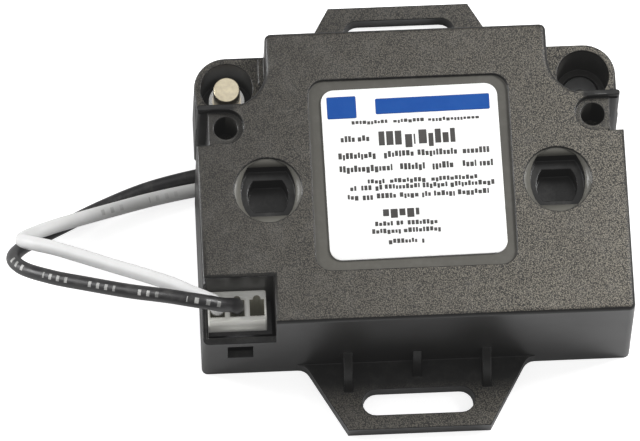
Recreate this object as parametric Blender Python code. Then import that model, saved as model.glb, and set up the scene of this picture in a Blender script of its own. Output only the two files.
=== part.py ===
"""Gas burner igniter: a potted spark module in a moulded case, with its plug and two leads.

Units are metres, +Z is up. The origin is the centre of the case's base. +X is to the right
and +Y to the rear, where the two wells are. The case stands on its open, potted side.
"""

import math

import bmesh
import bpy
from mathutils import Matrix, Vector

# Case shell, sizes at the top face
CASE_HALF_WIDTH = 0.0502
CASE_HALF_LENGTH = 0.0358
CASE_HEIGHT = 0.0361
DRAFT = 0.02
TOP_ROUND = 0.0011
CORNER_RADIUS = 0.0014
SIDE_WALL = 0.0019
TOP_WALL = 0.0019
GAP = 0.0003

# Rear ears, their wells and the fin in front of each
WELL_INSET = 0.0078
WELL_SETBACK = 0.0084
WELL_RADIUS = 0.0062
WELL_FLOOR = 0.0090
WELL_FLOOR_THICKNESS = 0.0016
SOCKET_RADIUS = 0.00453
EAR_TOP = 0.0220
EAR_RADIUS = 0.0075
EAR_EDGE = 0.0006
EAR_RIB_WIDTH = 0.00155
EAR_RIB_HEIGHT = 0.0006
NOTCH_RADIUS = 0.0092
FIN_THICKNESS = 0.0015
FIN_LAP = 0.00035
FIN_INSET = 0.0004

# Side pockets with a blind hole, and the channel below each
POCKET_INSET = 0.0070
POCKET_PITCH = 0.0144
POCKET_RADIUS = 0.00425
POCKET_DEPTH = 0.0020
POCKET_LEDGE = 0.0040
BLIND_SETBACK = 0.0002
BLIND_RADIUS = 0.0028
BLIND_DEPTH = 0.0120

# Stepped double-D recesses
RECESS_MARGIN = 0.00235
RECESS_PITCH = 0.03055
RECESS_RADIUS = 0.0080
RECESS_LEDGE = 0.00055
KEY_HALF_LENGTH = 0.0061
KEY_HALF_CHORD = 0.0047
KEY_HALF_WIDTH = 0.00645
KEY_DEPTH = 0.0047
LOWER_HALF_LENGTH = 0.0039
LOWER_HALF_CHORD = 0.0034
LOWER_HALF_WIDTH = 0.00475
LOWER_DEPTH = 0.0100

# Label and its recess
LABEL_RECESS_HALF = 0.0236
LABEL_RECESS_RADIUS = 0.0038
LABEL_RECESS_DEPTH = 0.0008
LABEL_HALF = 0.0207
LABEL_SHIFT = 0.00035
LABEL_TURN = 0.5
LABEL_RADIUS = 0.0030
LABEL_THICKNESS = 0.00025

# Flanges, slots and gussets
FLANGE_REACH = 0.05315
FLANGE_THICKNESS = 0.0046
FLANGE_TIP_HALF = 0.0169
FLANGE_ROOT_HALF = 0.0264
FLANGE_FILLET = 0.0030
SLOT_HALF_LENGTH = 0.01335
SLOT_HALF_WIDTH = 0.0032
SLOT_TAPER = 0.00045
SLOT_FROM_TIP = 0.00665
GUSSET_PITCH = 0.0164
GUSSET_WIDTH = 0.0021
GUSSET_TOP = 0.0132
GUSSET_FOOT = 0.0073
MIDDLE_GUSSET_FOOT = 0.0041

# Plug bay in the front left corner
BAY_OUTER_WALL = 0.0008
BAY_WIDTH = 0.0160
BAY_DEPTH = 0.0104
BAY_FRONT_WALL = 0.0013
BAY_SILL = 0.0220
BAY_SILL_LENGTH = 0.0087
BAY_MOUTH = 0.0006
WINDOW_SHIFT = 0.0005
WINDOW_HALF_WIDTH = 0.0030
WINDOW_HEIGHT = 0.0078
WINDOW_DROP = 0.0024

# Plug, header and terminals
PLUG_WIDTH = 0.0137
PLUG_DEPTH = 0.0073
PLUG_TOP = 0.0260
PLUG_LENGTH = 0.0170
WAY_PITCH = 0.00465
WAY_HALF_WIDTH = 0.0017
WAY_HALF_DEPTH = 0.0025
WAY_LEAD_IN = 0.00035
WAY_ARCH = 0.0010
WAY_FLOOR = 0.0020
PIN_HALF = 0.0004
PIN_LENGTH = 0.0115
HEADER_HEIGHT = 0.0034
HEADER_INSET = 0.0012
SHROUD_TOP = 0.0186
SHROUD_WALL = 0.0010
TERMINAL_HALF = 0.0012
TERMINAL_LENGTH = 0.0088

# Leads
LEAD_RADIUS = 0.0017
LEAD_ENTRY_Z = 0.0022
LEAD_SPACING = 0.00376
LEAD_MIDDLE_Y = 0.01125
LEAD_START = 0.0416
LEAD_SINK = 0.00025
LEAD_HEADROOM = 0.0014
LEAD_SIDEROOM = 0.0009
LEAD_END_SETBACK = 0.0005

# High-voltage post and the sleeve round it
POST_RADIUS = 0.00315
POST_TOP = 0.0213
POST_CHAMFER = 0.00035
POST_FOOT = 0.0072
SLEEVE_LIP = 0.0002
SLEEVE_TOP = 0.0135

# Circuit board and potting
BOARD_BASE = 0.0034
BOARD_THICKNESS = 0.0016
BOARD_NOTCH = 0.0080
ANCHOR_WALL = 0.0006
ANCHOR_TOP = 0.0062
POTTING_SETBACK = 0.0005

# Transformer
CORE_LEFT_CLEARANCE = 0.0008
CORE_RIGHT_CLEARANCE = 0.0068
COIL_REAR_CLEARANCE = 0.0015
COIL_STAND = 0.0013
LEG_RADIUS = 0.0040
CORE_PLATE = 0.0060
CORE_HEIGHT = 0.0140
CORE_CHEEK = 0.0010
RETURN_LEG_CLEARANCE = 0.0008
RETURN_LEG_THICKNESS = 0.0044
CORE_STAND_INSET = 0.0005
CORE_STAND_LAP = 0.0020
CRADLE_INSET = 0.0020
TUBE_WALL = 0.0010
SECONDARY_SECTIONS = 6
COIL_SLACK = 0.0002
FLANGE_DISC = 0.0007
SECONDARY_DISC_RADIUS = 0.0100
SECONDARY_WIRE_RADIUS = 0.0091
PRIMARY_LENGTH = 0.0118
PRIMARY_DISC_RADIUS = 0.0095
PRIMARY_WIRE_RADIUS = 0.0086

# Other parts on the board, with the room kept round them
FRONT_CLEARANCE = 0.0019
BAY_CLEARANCE = 0.0030
RIGHT_CLEARANCE = 0.0020
PART_GAP = 0.0010
FUSE_GAP = 0.0022
FILTER_RADIUS = 0.0065
FILTER_CHAMFER = 0.0008
STORAGE_WIDTH = 0.0190
STORAGE_DEPTH = 0.0090
STORAGE_HEIGHT = 0.0145
BOX_CORNER = 0.0006
FUSE_RADIUS = 0.0026
FUSE_CAP_WALL = 0.0004
FUSE_LENGTH = 0.0140
FUSE_CAP_LENGTH = 0.0050
RECTIFIER_WIDTH = 0.0150
RECTIFIER_DEPTH = 0.0046
RECTIFIER_HEIGHT = 0.0120
SINK_WIDTH = 0.0160
SINK_HEADROOM = 0.0009
SINK_CLEARANCE = 0.0006
SINK_BASE = 0.0022
SINK_FIN = 0.0012
SINK_FINS = 5
SINK_FIN_DEPTH = 0.0055
TAB_HALF_WIDTH = 0.0050
TAB_THICKNESS = 0.0013
TAB_DROP = 0.0005
TRANSISTOR_DEPTH = 0.0031
TRANSISTOR_DROP = 0.0052
CHOKE_RADIUS = 0.0050
CHOKE_HEIGHT = 0.0130
CHOKE_DISC = 0.0015
CHOKE_CORE_RADIUS = 0.0026
CHOKE_WIRE_SETBACK = 0.0006
CHOKE_SHIFT = 0.0100
RESISTOR_RADIUS = 0.0017
RESISTOR_LENGTH = 0.0085
RESISTOR_SHIFT = 0.0070
RESISTOR_PITCH = 0.0050
RESISTOR_CHAMFER = 0.0004
CONDUCTOR_RADIUS = 0.0006

# Derived levels and faces
BOARD_TOP = BOARD_BASE + BOARD_THICKNESS
SEAT = BOARD_TOP + GAP
CEILING = CASE_HEIGHT - LABEL_RECESS_DEPTH - TOP_WALL
CEILING_MIDDLE = CASE_HEIGHT - POCKET_DEPTH - BLIND_DEPTH - TOP_WALL
WELL_X = CASE_HALF_WIDTH - WELL_INSET
WELL_Y = CASE_HALF_LENGTH - WELL_SETBACK
POCKET_X = CASE_HALF_WIDTH - POCKET_INSET
POCKET_Y = WELL_Y - POCKET_PITCH
RECESS_X = LABEL_RECESS_HALF + RECESS_RADIUS + RECESS_MARGIN
RECESS_Y = WELL_Y - RECESS_PITCH
FIN_Y = WELL_Y - NOTCH_RADIUS + FIN_LAP - FIN_THICKNESS
CHANNEL_X = POCKET_X + POCKET_LEDGE
INNER_X = CASE_HALF_WIDTH - SIDE_WALL
INNER_Y = CASE_HALF_LENGTH - SIDE_WALL
BAY_LEFT = -CASE_HALF_WIDTH + BAY_OUTER_WALL
BAY_RIGHT = BAY_LEFT + BAY_WIDTH
BAY_FRONT = -CASE_HALF_LENGTH + BAY_FRONT_WALL
BAY_BACK = BAY_FRONT + BAY_DEPTH
PLUG_X = BAY_LEFT + GAP + PLUG_WIDTH / 2
PLUG_Y = BAY_BACK - GAP - PLUG_DEPTH / 2
ANCHOR_HALF = LEAD_SPACING / 2 + LEAD_RADIUS + GAP + ANCHOR_WALL
BLOCK_EDGE = WELL_X - NOTCH_RADIUS - SIDE_WALL
CORE_LEFT = -BLOCK_EDGE + CORE_LEFT_CLEARANCE
CORE_RIGHT = BLOCK_EDGE - CORE_RIGHT_CLEARANCE
COIL_X = (CORE_LEFT + CORE_RIGHT) / 2
COIL_Y = INNER_Y - SECONDARY_DISC_RADIUS - COIL_REAR_CLEARANCE
COIL_Z = SEAT + COIL_STAND + SECONDARY_DISC_RADIUS
COIL_START = CORE_LEFT + CORE_PLATE + GAP
COIL_ROOM = CORE_RIGHT - CORE_LEFT - 2 * CORE_PLATE - 3 * GAP - COIL_SLACK
SECONDARY_PITCH = (COIL_ROOM - PRIMARY_LENGTH - FLANGE_DISC) / SECONDARY_SECTIONS
RETURN_LEG_REAR = COIL_Y - SECONDARY_DISC_RADIUS - RETURN_LEG_CLEARANCE
RETURN_LEG_FRONT = RETURN_LEG_REAR - RETURN_LEG_THICKNESS
FRONT_ROW = -INNER_Y + FRONT_CLEARANCE
RIGHT_COLUMN = CHANNEL_X - SIDE_WALL - RIGHT_CLEARANCE
STORAGE_LEFT = BAY_RIGHT + SIDE_WALL + BAY_CLEARANCE
FILTER_LEFT = STORAGE_LEFT + STORAGE_WIDTH + PART_GAP
FUSE_LEFT = RIGHT_COLUMN - FUSE_LENGTH - 2 * GAP - 2 * FUSE_CAP_LENGTH
FILTER_LENGTH = FUSE_LEFT - FUSE_GAP - FILTER_LEFT
SECOND_ROW = FRONT_ROW + 2 * FILTER_RADIUS + PART_GAP
SINK_REAR = POCKET_Y - POCKET_RADIUS - SIDE_WALL - SINK_CLEARANCE
SINK_FRONT = SINK_REAR - SINK_BASE - SINK_FIN_DEPTH
SINK_HEIGHT = CEILING_MIDDLE - SEAT - SINK_HEADROOM
BELOW = -0.004
ABOVE = CASE_HEIGHT + 0.004


def clear_scene():
    for thing in list(bpy.data.objects):
        bpy.data.objects.remove(thing, do_unlink=True)


def material(name, colour, roughness, metallic=0.0):
    made = bpy.data.materials.new(name)
    made.use_nodes = True
    shader = made.node_tree.nodes["Principled BSDF"]
    shader.inputs["Base Color"].default_value = (*colour, 1.0)
    shader.inputs["Roughness"].default_value = roughness
    shader.inputs["Metallic"].default_value = metallic
    return made


def finish(name, bm, look=None, smooth=True):
    """Turns a bmesh into a named object, shaded smooth up to 30 degrees."""
    bmesh.ops.recalc_face_normals(bm, faces=bm.faces)
    mesh = bpy.data.meshes.new(name)
    bm.to_mesh(mesh)
    bm.free()
    if smooth:
        mesh.shade_smooth()
        mesh.set_sharp_from_angle(angle=math.radians(30))
    made = bpy.data.objects.new(name, mesh)
    bpy.context.scene.collection.objects.link(made)
    if look:
        made.data.materials.append(look)
    return made


def arc(cx, cy, radius, start, end, steps):
    """Points on an arc, from start to end in degrees, both included."""
    points = []
    for i in range(steps + 1):
        angle = math.radians(start + (end - start) * i / steps)
        points.append((cx + radius * math.cos(angle), cy + radius * math.sin(angle)))
    return points


def rounded_box(x0, x1, y0, y1, radii, steps=4):
    """Outline of a box whose corners have radii in the order front left, front right,
    rear right, rear left."""
    corners = ((x0, y0, 180), (x1, y0, 270), (x1, y1, 0), (x0, y1, 90))
    points = []
    for (x, y, start), radius in zip(corners, radii):
        if radius <= 0:
            points.append((x, y))
            continue
        cx = x + radius if x == x0 else x - radius
        cy = y + radius if y == y0 else y - radius
        points += arc(cx, cy, radius, start, start + 90, steps)
    return points


def prism_mesh(outline, bottom, top):
    bm = bmesh.new()
    ring = [bm.verts.new((x, y, bottom)) for x, y in outline]
    face = bm.faces.new(ring)
    lifted = bmesh.ops.extrude_face_region(bm, geom=[face])
    moved = [g for g in lifted["geom"] if isinstance(g, bmesh.types.BMVert)]
    bmesh.ops.translate(bm, verts=moved, vec=(0, 0, top - bottom))
    return bm


def prism(name, outline, bottom, top, look=None):
    return finish(name, prism_mesh(outline, bottom, top), look)


def box(name, x0, x1, y0, y1, z0, z1, look=None):
    return prism(name, [(x0, y0), (x1, y0), (x1, y1), (x0, y1)], z0, z1, look)


def turned(name, profile, centre, axis="Z", look=None, segments=32):
    """A closed profile of (radius, height) points turned about an axis through centre."""
    bm = bmesh.new()
    ring = [bm.verts.new((r, 0, h)) for r, h in profile]
    edges = [bm.edges.new((a, b)) for a, b in zip(ring, ring[1:] + ring[:1])]
    bmesh.ops.spin(
        bm, geom=ring + edges, cent=(0, 0, 0), axis=(0, 0, 1), angle=math.tau,
        steps=segments, use_merge=True,
    )
    bmesh.ops.remove_doubles(bm, verts=bm.verts, dist=1e-6)
    bmesh.ops.dissolve_degenerate(bm, edges=bm.edges, dist=1e-7)
    turn = {"Z": 0.0, "X": math.pi / 2}[axis]
    bmesh.ops.rotate(bm, verts=bm.verts, matrix=Matrix.Rotation(turn, 3, "Y"))
    bmesh.ops.translate(bm, verts=bm.verts, vec=centre)
    return finish(name, bm, look)


def cylinder(name, centre, radius, length, axis="Z", look=None, segments=32, chamfer=0.0):
    """A solid cylinder that starts at centre and runs along the axis."""
    c = chamfer
    profile = [(0, 0), (radius, 0), (radius, length), (0, length)]
    if c:
        profile = [(0, 0), (radius - c, 0), (radius, c), (radius, length - c),
                   (radius - c, length), (0, length)]
    return turned(name, profile, centre, axis, look, segments)


def combine(target, other, operation="DIFFERENCE"):
    """Cuts other out of target, or joins it on, and keeps other as a wire guide."""
    other.hide_render = True
    other.display_type = "WIRE"
    step = target.modifiers.new(other.name, "BOOLEAN")
    step.operation = operation
    step.solver = "EXACT"
    step.object = other


def join(target, other):
    combine(target, other, "UNION")


def apply_draft(made):
    """Widens a body towards its base by the mould's draft."""
    for vert in made.data.vertices:
        drop = CASE_HEIGHT - vert.co.z
        vert.co.x *= 1 + DRAFT * drop / CASE_HALF_WIDTH
        vert.co.y *= 1 + DRAFT * drop / CASE_HALF_LENGTH


# The case


def upper_outline():
    """Plan of the full-height block: the rear corners step in round each well."""
    half = [(CASE_HALF_WIDTH, POCKET_Y - POCKET_RADIUS)]
    half.append((CHANNEL_X, POCKET_Y - POCKET_RADIUS))
    half.append((CHANNEL_X, WELL_Y - NOTCH_RADIUS))
    half += arc(WELL_X, WELL_Y, NOTCH_RADIUS, 270, 180, 10)
    corner = CASE_HALF_LENGTH - CORNER_RADIUS
    half += arc(WELL_X - NOTCH_RADIUS - CORNER_RADIUS, corner, CORNER_RADIUS, 0, 90, 4)
    front = arc(CASE_HALF_WIDTH - CORNER_RADIUS, -corner, CORNER_RADIUS, 270, 360, 4)
    right = front + half
    return right + [(-x, y) for x, y in reversed(right)]


def block(look):
    bm = prism_mesh(upper_outline(), BELOW, CASE_HEIGHT)
    rim = [e for e in bm.edges if all(v.co.z > CASE_HEIGHT - 1e-6 for v in e.verts)]
    bmesh.ops.bevel(
        bm, geom=rim, offset=TOP_ROUND, segments=3, profile=0.5, affect="EDGES",
        clamp_overlap=False, material=-1,
    )
    made = finish("case", bm, look)
    apply_draft(made)
    return made


def ear(side):
    """The low corner that carries a well, rounded about the well's axis."""
    inner = WELL_X - NOTCH_RADIUS - 0.003
    outer = WELL_X + EAR_RADIUS
    front = FIN_Y + 0.0002
    outline = [(inner, front), (outer, front)]
    outline += arc(WELL_X, WELL_Y, EAR_RADIUS, 0, 90, 10)
    outline.append((inner, WELL_Y + EAR_RADIUS))
    bm = prism_mesh([(x * side, y) for x, y in outline], BELOW - 0.0002, EAR_TOP)
    rim = [
        e for e in bm.edges
        if all(v.co.z > EAR_TOP - 1e-6 for v in e.verts)
        and max(abs(v.co.x) for v in e.verts) > inner + 1e-5
        and max(v.co.y for v in e.verts) > front + 1e-5
    ]
    bmesh.ops.bevel(
        bm, geom=rim, offset=EAR_EDGE, segments=2, profile=0.5, affect="EDGES",
        clamp_overlap=False, material=-1,
    )
    made = finish(f"ear_{side:+d}", bm)
    apply_draft(made)
    return made


def ear_rib():
    """Low rib on the left ear, along the block's wall, run out where the notch curves in."""
    wall = -WELL_X + NOTCH_RADIUS + EAR_EDGE / 2
    edge = -WELL_X + NOTCH_RADIUS - EAR_RIB_WIDTH
    rear = WELL_Y + EAR_RADIUS - EAR_EDGE / 2
    outline = [(wall, WELL_Y - EAR_RIB_WIDTH / 2), (wall, rear), (edge, rear),
               (edge, WELL_Y + EAR_RIB_WIDTH * 0.6), (edge + EAR_RIB_WIDTH / 2, WELL_Y)]
    return prism("ear_rib", outline, EAR_TOP - EAR_EDGE * 2, EAR_TOP + EAR_RIB_HEIGHT)


def fin(side):
    """Thin upright wall between the notch and the pocket, round at its free edge."""
    end = CASE_HALF_WIDTH - FIN_INSET
    outline = [(WELL_X - 0.003, FIN_Y), (end - FIN_THICKNESS / 2, FIN_Y)]
    outline += arc(end - FIN_THICKNESS / 2, FIN_Y + FIN_THICKNESS / 2, FIN_THICKNESS / 2,
                   -60, 60, 4)
    outline += [(end - FIN_THICKNESS / 2, FIN_Y + FIN_THICKNESS),
                (WELL_X - 0.003, FIN_Y + FIN_THICKNESS)]
    made = prism(f"fin_{side:+d}", [(x * side, y) for x, y in outline],
                 BELOW - 0.0004, CASE_HEIGHT - 0.0002)
    for vert in made.data.vertices:
        vert.co.x *= 1 + DRAFT * (CASE_HEIGHT - vert.co.z) / CASE_HALF_WIDTH
    return made


def flange(side):
    """Tapered mounting flange with a fillet where it meets the wall."""
    wall = CASE_HALF_LENGTH + DRAFT * CASE_HEIGHT
    tip, root = FLANGE_TIP_HALF, FLANGE_ROOT_HALF
    lean = math.atan2(root - tip, FLANGE_REACH - wall)
    blend = FLANGE_FILLET * math.tan((math.pi / 2 - lean) / 2)
    cx, cy = root + blend, wall + FLANGE_FILLET
    fillet = arc(cx, cy, FLANGE_FILLET, 270, 180 + math.degrees(lean), 4)
    start = [(cx, wall - 0.003), (cx, wall - 0.0004)]
    half = start + fillet + [(tip, FLANGE_REACH)]
    outline = half + [(-x, y) for x, y in reversed(half)]
    return prism(f"flange_{side:+d}", [(x, y * side) for x, y in outline],
                 BELOW - 0.0006, FLANGE_THICKNESS)


def gusset(side, x, foot):
    """Triangular rib from the wall down to the flange."""
    wall = CASE_HALF_LENGTH + DRAFT * (CASE_HEIGHT - FLANGE_THICKNESS)
    inside = wall - 0.002
    lift = GUSSET_TOP - FLANGE_THICKNESS
    slope = lift / foot
    bm = bmesh.new()
    points = [(inside, FLANGE_THICKNESS - 0.002), (wall + foot, FLANGE_THICKNESS - 0.002),
              (wall + foot, FLANGE_THICKNESS + 0.0003),
              (inside, GUSSET_TOP + slope * (wall - inside) * 0.2)]
    ring = [bm.verts.new((x - GUSSET_WIDTH / 2, y * side, z)) for y, z in points]
    face = bm.faces.new(ring)
    lifted = bmesh.ops.extrude_face_region(bm, geom=[face])
    moved = [g for g in lifted["geom"] if isinstance(g, bmesh.types.BMVert)]
    bmesh.ops.translate(bm, verts=moved, vec=(GUSSET_WIDTH, 0, 0))
    return finish(f"gusset_{side:+d}_{round(x * 1000)}", bm)


def slot(side):
    centre = side * (FLANGE_REACH - SLOT_FROM_TIP)
    straight = SLOT_HALF_LENGTH - SLOT_HALF_WIDTH
    outline = arc(straight, centre, SLOT_HALF_WIDTH, -90, 90, 10)
    outline += arc(-straight, centre, SLOT_HALF_WIDTH, 90, 270, 10)
    made = prism(f"slot_{side:+d}", outline, 0, FLANGE_THICKNESS)
    for vert in made.data.vertices:
        if vert.co.z < FLANGE_THICKNESS / 2:
            vert.co.z = BELOW
            vert.co.x -= math.copysign(SLOT_TAPER, vert.co.x)
        else:
            vert.co.z += GAP
    return made


def barrel_outline(cx, cy, half_width, half_chord, half_length):
    """Outline with two flats and two bulged sides, each an arc through its middle."""
    rise = half_width - half_chord
    radius = (half_length ** 2 + rise ** 2) / (2 * rise)
    sweep = math.degrees(math.asin(half_length / radius))
    right = arc(cx + half_width - radius, cy, radius, -sweep, sweep, 8)
    left = arc(cx - half_width + radius, cy, radius, 180 - sweep, 180 + sweep, 8)
    return right + left


def recess_cutters(side):
    x, y = RECESS_X * side, RECESS_Y
    top = ABOVE
    ledge = prism(f"recess_{side:+d}", arc(x, y, RECESS_RADIUS, 0, 350, 35),
                  CASE_HEIGHT - RECESS_LEDGE, top)
    key = prism(f"key_{side:+d}",
                barrel_outline(x, y, KEY_HALF_WIDTH, KEY_HALF_CHORD, KEY_HALF_LENGTH),
                CASE_HEIGHT - KEY_DEPTH, top + 0.001)
    lower = prism(f"lower_{side:+d}",
                  barrel_outline(x, y, LOWER_HALF_WIDTH, LOWER_HALF_CHORD,
                                 LOWER_HALF_LENGTH),
                  CASE_HEIGHT - LOWER_DEPTH, top + 0.002)
    return [ledge, key, lower]


def well_cutters(side):
    x = WELL_X * side
    well = cylinder(f"well_{side:+d}", (x, WELL_Y, WELL_FLOOR), WELL_RADIUS,
                    ABOVE - WELL_FLOOR, segments=40)
    bore = cylinder(f"bore_{side:+d}", (x, WELL_Y, WELL_FLOOR - 2 * WELL_FLOOR_THICKNESS),
                    SOCKET_RADIUS, 3 * WELL_FLOOR_THICKNESS, segments=28)
    return [well, bore]


def pocket_cutters(side):
    x = POCKET_X * side
    outline = arc(POCKET_X, POCKET_Y, POCKET_RADIUS, 270, 90, 12)
    outline += [(CASE_HALF_WIDTH + 0.004, POCKET_Y + POCKET_RADIUS),
                (CASE_HALF_WIDTH + 0.004, POCKET_Y - POCKET_RADIUS)]
    floor = CASE_HEIGHT - POCKET_DEPTH
    shelf = prism(f"pocket_{side:+d}", [(px * side, py) for px, py in outline],
                  floor, ABOVE + 0.001)
    hole = cylinder(f"blind_{side:+d}", (x, POCKET_Y + BLIND_SETBACK, floor - BLIND_DEPTH),
                    BLIND_RADIUS, ABOVE - floor + BLIND_DEPTH, segments=28)
    return [shelf, hole]


def flared_box(name, x0, x1, y0, y1, top, flare):
    """Cutter for a sloped mouth: flush with the box at flare below top, and wider above."""
    bm = bmesh.new()
    rings = []
    for z, grow in ((top - flare, 0.0), (top + flare, 2 * flare)):
        corners = ((x0 - grow, y0 - grow), (x1 + grow, y0 - grow), (x1 + grow, y1 + grow),
                   (x0 - grow, y1 + grow))
        rings.append([bm.verts.new((px, py, z)) for px, py in corners])
    bm.faces.new(rings[0])
    bm.faces.new(rings[1])
    for i in range(4):
        j = (i + 1) % 4
        bm.faces.new((rings[0][i], rings[0][j], rings[1][j], rings[1][i]))
    return finish(name, bm)


def bay_cutters():
    """The corner bay, the low sill of its two outer walls and the window in front."""
    bay = box("bay", BAY_LEFT, BAY_RIGHT, BAY_FRONT, BAY_BACK, SEAT, ABOVE)
    mouth = flared_box("bay_mouth", BAY_LEFT, BAY_RIGHT, BAY_FRONT, BAY_BACK,
                       CASE_HEIGHT, BAY_MOUTH)
    outside = CASE_HALF_LENGTH + 0.004
    front = box("front_sill", BAY_LEFT, BAY_RIGHT, -outside, BAY_FRONT + 0.001,
                BAY_SILL, ABOVE + 0.001)
    side = box("side_sill", -CASE_HALF_WIDTH - 0.004, BAY_LEFT + 0.001,
               -outside - 0.001, BAY_FRONT + BAY_SILL_LENGTH, BAY_SILL, ABOVE + 0.002)
    middle = PLUG_X + WINDOW_SHIFT
    window = box("window", middle - WINDOW_HALF_WIDTH, middle + WINDOW_HALF_WIDTH,
                 -outside, BAY_FRONT + 0.001,
                 BAY_SILL - WINDOW_DROP - WINDOW_HEIGHT, BAY_SILL - WINDOW_DROP)
    return [bay, mouth, front, side, window]


def inner_outline(inset):
    """Plan of the hollow at the base, drawn in by inset."""
    x, y = INNER_X - inset, INNER_Y - inset
    rear = EAR_RADIUS - SIDE_WALL
    channel = CHANNEL_X - SIDE_WALL - inset
    low = POCKET_Y - POCKET_RADIUS - SIDE_WALL - inset
    high = FIN_Y + FIN_THICKNESS + SIDE_WALL + inset
    ear_y = WELL_Y + rear - inset
    corner = arc(WELL_X, WELL_Y, rear - inset, 0, 90, 6)
    block_edge = BLOCK_EDGE - inset
    right = [(x, -y), (x, low), (channel, low), (channel, high)]
    right += [(WELL_X + rear - inset, high)] + corner
    right += [(block_edge, ear_y), (block_edge, y)]
    return right + [(-px, py) for px, py in reversed(right)]


def hollow_cutters():
    """The inside of the shell, lower under the wells, the pockets and the recesses."""
    base = prism("hollow_base", inner_outline(0), BELOW - 0.002,
                 WELL_FLOOR - WELL_FLOOR_THICKNESS)
    recess_in = RECESS_X - RECESS_RADIUS - SIDE_WALL
    recess_front = RECESS_Y - RECESS_RADIUS - SIDE_WALL
    recess_back = RECESS_Y + RECESS_RADIUS + SIDE_WALL
    bay_right = BAY_RIGHT + SIDE_WALL
    bay_back = BAY_BACK + SIDE_WALL
    side = CHANNEL_X - SIDE_WALL - 0.0004
    start = 0.002
    parts = [
        box("hollow_centre", -recess_in, recess_in, -INNER_Y + 0.0002, INNER_Y - 0.0002,
            start, CEILING),
        box("hollow_front", bay_right, side, -INNER_Y + 0.0003, recess_front,
            start + 0.0002, CEILING - 0.0001),
        box("hollow_rear", -BLOCK_EDGE, BLOCK_EDGE, recess_back, INNER_Y - 0.0003,
            start + 0.0004, CEILING - 0.0002),
        box("hollow_middle", -side + 0.0001, side - 0.0001, bay_back,
            POCKET_Y - POCKET_RADIUS - SIDE_WALL, start + 0.0006, CEILING_MIDDLE),
        box("hollow_right", bay_right + 0.0001, side - 0.0002, -INNER_Y + 0.0004,
            POCKET_Y - POCKET_RADIUS - SIDE_WALL - 0.0001, start + 0.0008,
            CEILING_MIDDLE - 0.0001),
    ]
    return [base] + parts


def lead_notch():
    """Opening at the foot of the left channel where both leads come out."""
    half = LEAD_SPACING / 2 + LEAD_RADIUS + LEAD_SIDEROOM
    top = LEAD_ENTRY_Z + LEAD_RADIUS + LEAD_HEADROOM
    y0, y1 = LEAD_MIDDLE_Y - half, LEAD_MIDDLE_Y + half
    return box("lead_notch", -CASE_HALF_WIDTH - 0.003, -CHANNEL_X + SIDE_WALL + 0.001,
               y0, y1, BELOW - 0.003, top)


def case(look):
    made = block(look)
    for side in (-1, 1):
        join(made, ear(side))
        join(made, fin(side))
        join(made, flange(side))
        for x, foot in ((-GUSSET_PITCH, GUSSET_FOOT), (0.0, MIDDLE_GUSSET_FOOT),
                        (GUSSET_PITCH, GUSSET_FOOT)):
            join(made, gusset(side, x, foot))
    join(made, ear_rib())
    half = LABEL_RECESS_HALF
    outline = rounded_box(-half, half, -half, half, [LABEL_RECESS_RADIUS] * 4, 6)
    combine(made, prism("label_recess", outline, CASE_HEIGHT - LABEL_RECESS_DEPTH, ABOVE))
    for side in (-1, 1):
        for cutter in (recess_cutters(side) + well_cutters(side) + pocket_cutters(side)
                       + [slot(side)]):
            combine(made, cutter)
    for cutter in bay_cutters() + hollow_cutters() + [lead_notch()]:
        combine(made, cutter)
    reach = FLANGE_REACH + 0.01
    combine(made, box("base_plane", -reach, reach, -reach, reach, BELOW - 0.01, 0))
    return made


# Pieces seen from outside


def label(look):
    half = LABEL_HALF
    floor = CASE_HEIGHT - LABEL_RECESS_DEPTH
    outline = rounded_box(-half, half, -half, half, [LABEL_RADIUS] * 4, 6)
    turn = math.radians(LABEL_TURN)
    c, s = math.cos(turn), math.sin(turn)
    placed = [(x * c - y * s + LABEL_SHIFT, x * s + y * c) for x, y in outline]
    return prism("label", placed, floor + GAP, floor + GAP + LABEL_THICKNESS, look)


def post(look):
    foot = POST_FOOT
    profile = [(0, foot), (POST_RADIUS, foot), (POST_RADIUS, POST_TOP - POST_CHAMFER),
               (POST_RADIUS - POST_CHAMFER, POST_TOP), (0, POST_TOP)]
    return turned("hv_post", profile, (-WELL_X, WELL_Y, 0), look=look, segments=40)


def sleeve(look):
    """Insulating sleeve round the post, standing above the well's floor."""
    outer = SOCKET_RADIUS - GAP
    inner = POST_RADIUS + GAP
    low = WELL_FLOOR - WELL_FLOOR_THICKNESS - SLEEVE_LIP
    profile = [(inner, low), (outer, low), (outer, SLEEVE_TOP), (inner, SLEEVE_TOP)]
    return turned("post_sleeve", profile, (-WELL_X, WELL_Y, 0), look=look, segments=40)


def blank(look):
    """Plain disc that closes the unused socket of the second well."""
    low = WELL_FLOOR - WELL_FLOOR_THICKNESS - SLEEVE_LIP
    return cylinder("well_blank", (WELL_X, WELL_Y, low), SOCKET_RADIUS - GAP,
                    WELL_FLOOR - low, look=look, segments=40)


def way_x(index):
    return PLUG_X + (index - 1) * WAY_PITCH


def way_cutter(index):
    """One terminal cavity: a square-cornered slot with a narrower arched rear end."""
    x, w, d = way_x(index), WAY_HALF_WIDTH, WAY_HALF_DEPTH
    arch = w * 0.55
    outline = [(x - w, PLUG_Y - d), (x + w, PLUG_Y - d), (x + w, PLUG_Y + d - WAY_ARCH)]
    outline += arc(x, PLUG_Y + d - WAY_ARCH, arch, 0, 180, 6)
    outline += [(x - w, PLUG_Y + d - WAY_ARCH)]
    low = PLUG_TOP - PLUG_LENGTH + WAY_FLOOR
    return prism(f"way_{index}", outline, low, PLUG_TOP + 0.001)


def way_mouth(index):
    """Lead-in chamfer at the mouth of a cavity."""
    x, w, d = way_x(index), WAY_HALF_WIDTH, WAY_HALF_DEPTH
    return flared_box(f"mouth_{index}", x - w, x + w, PLUG_Y - d, PLUG_Y + d - WAY_ARCH,
                      PLUG_TOP, WAY_LEAD_IN)


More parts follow.
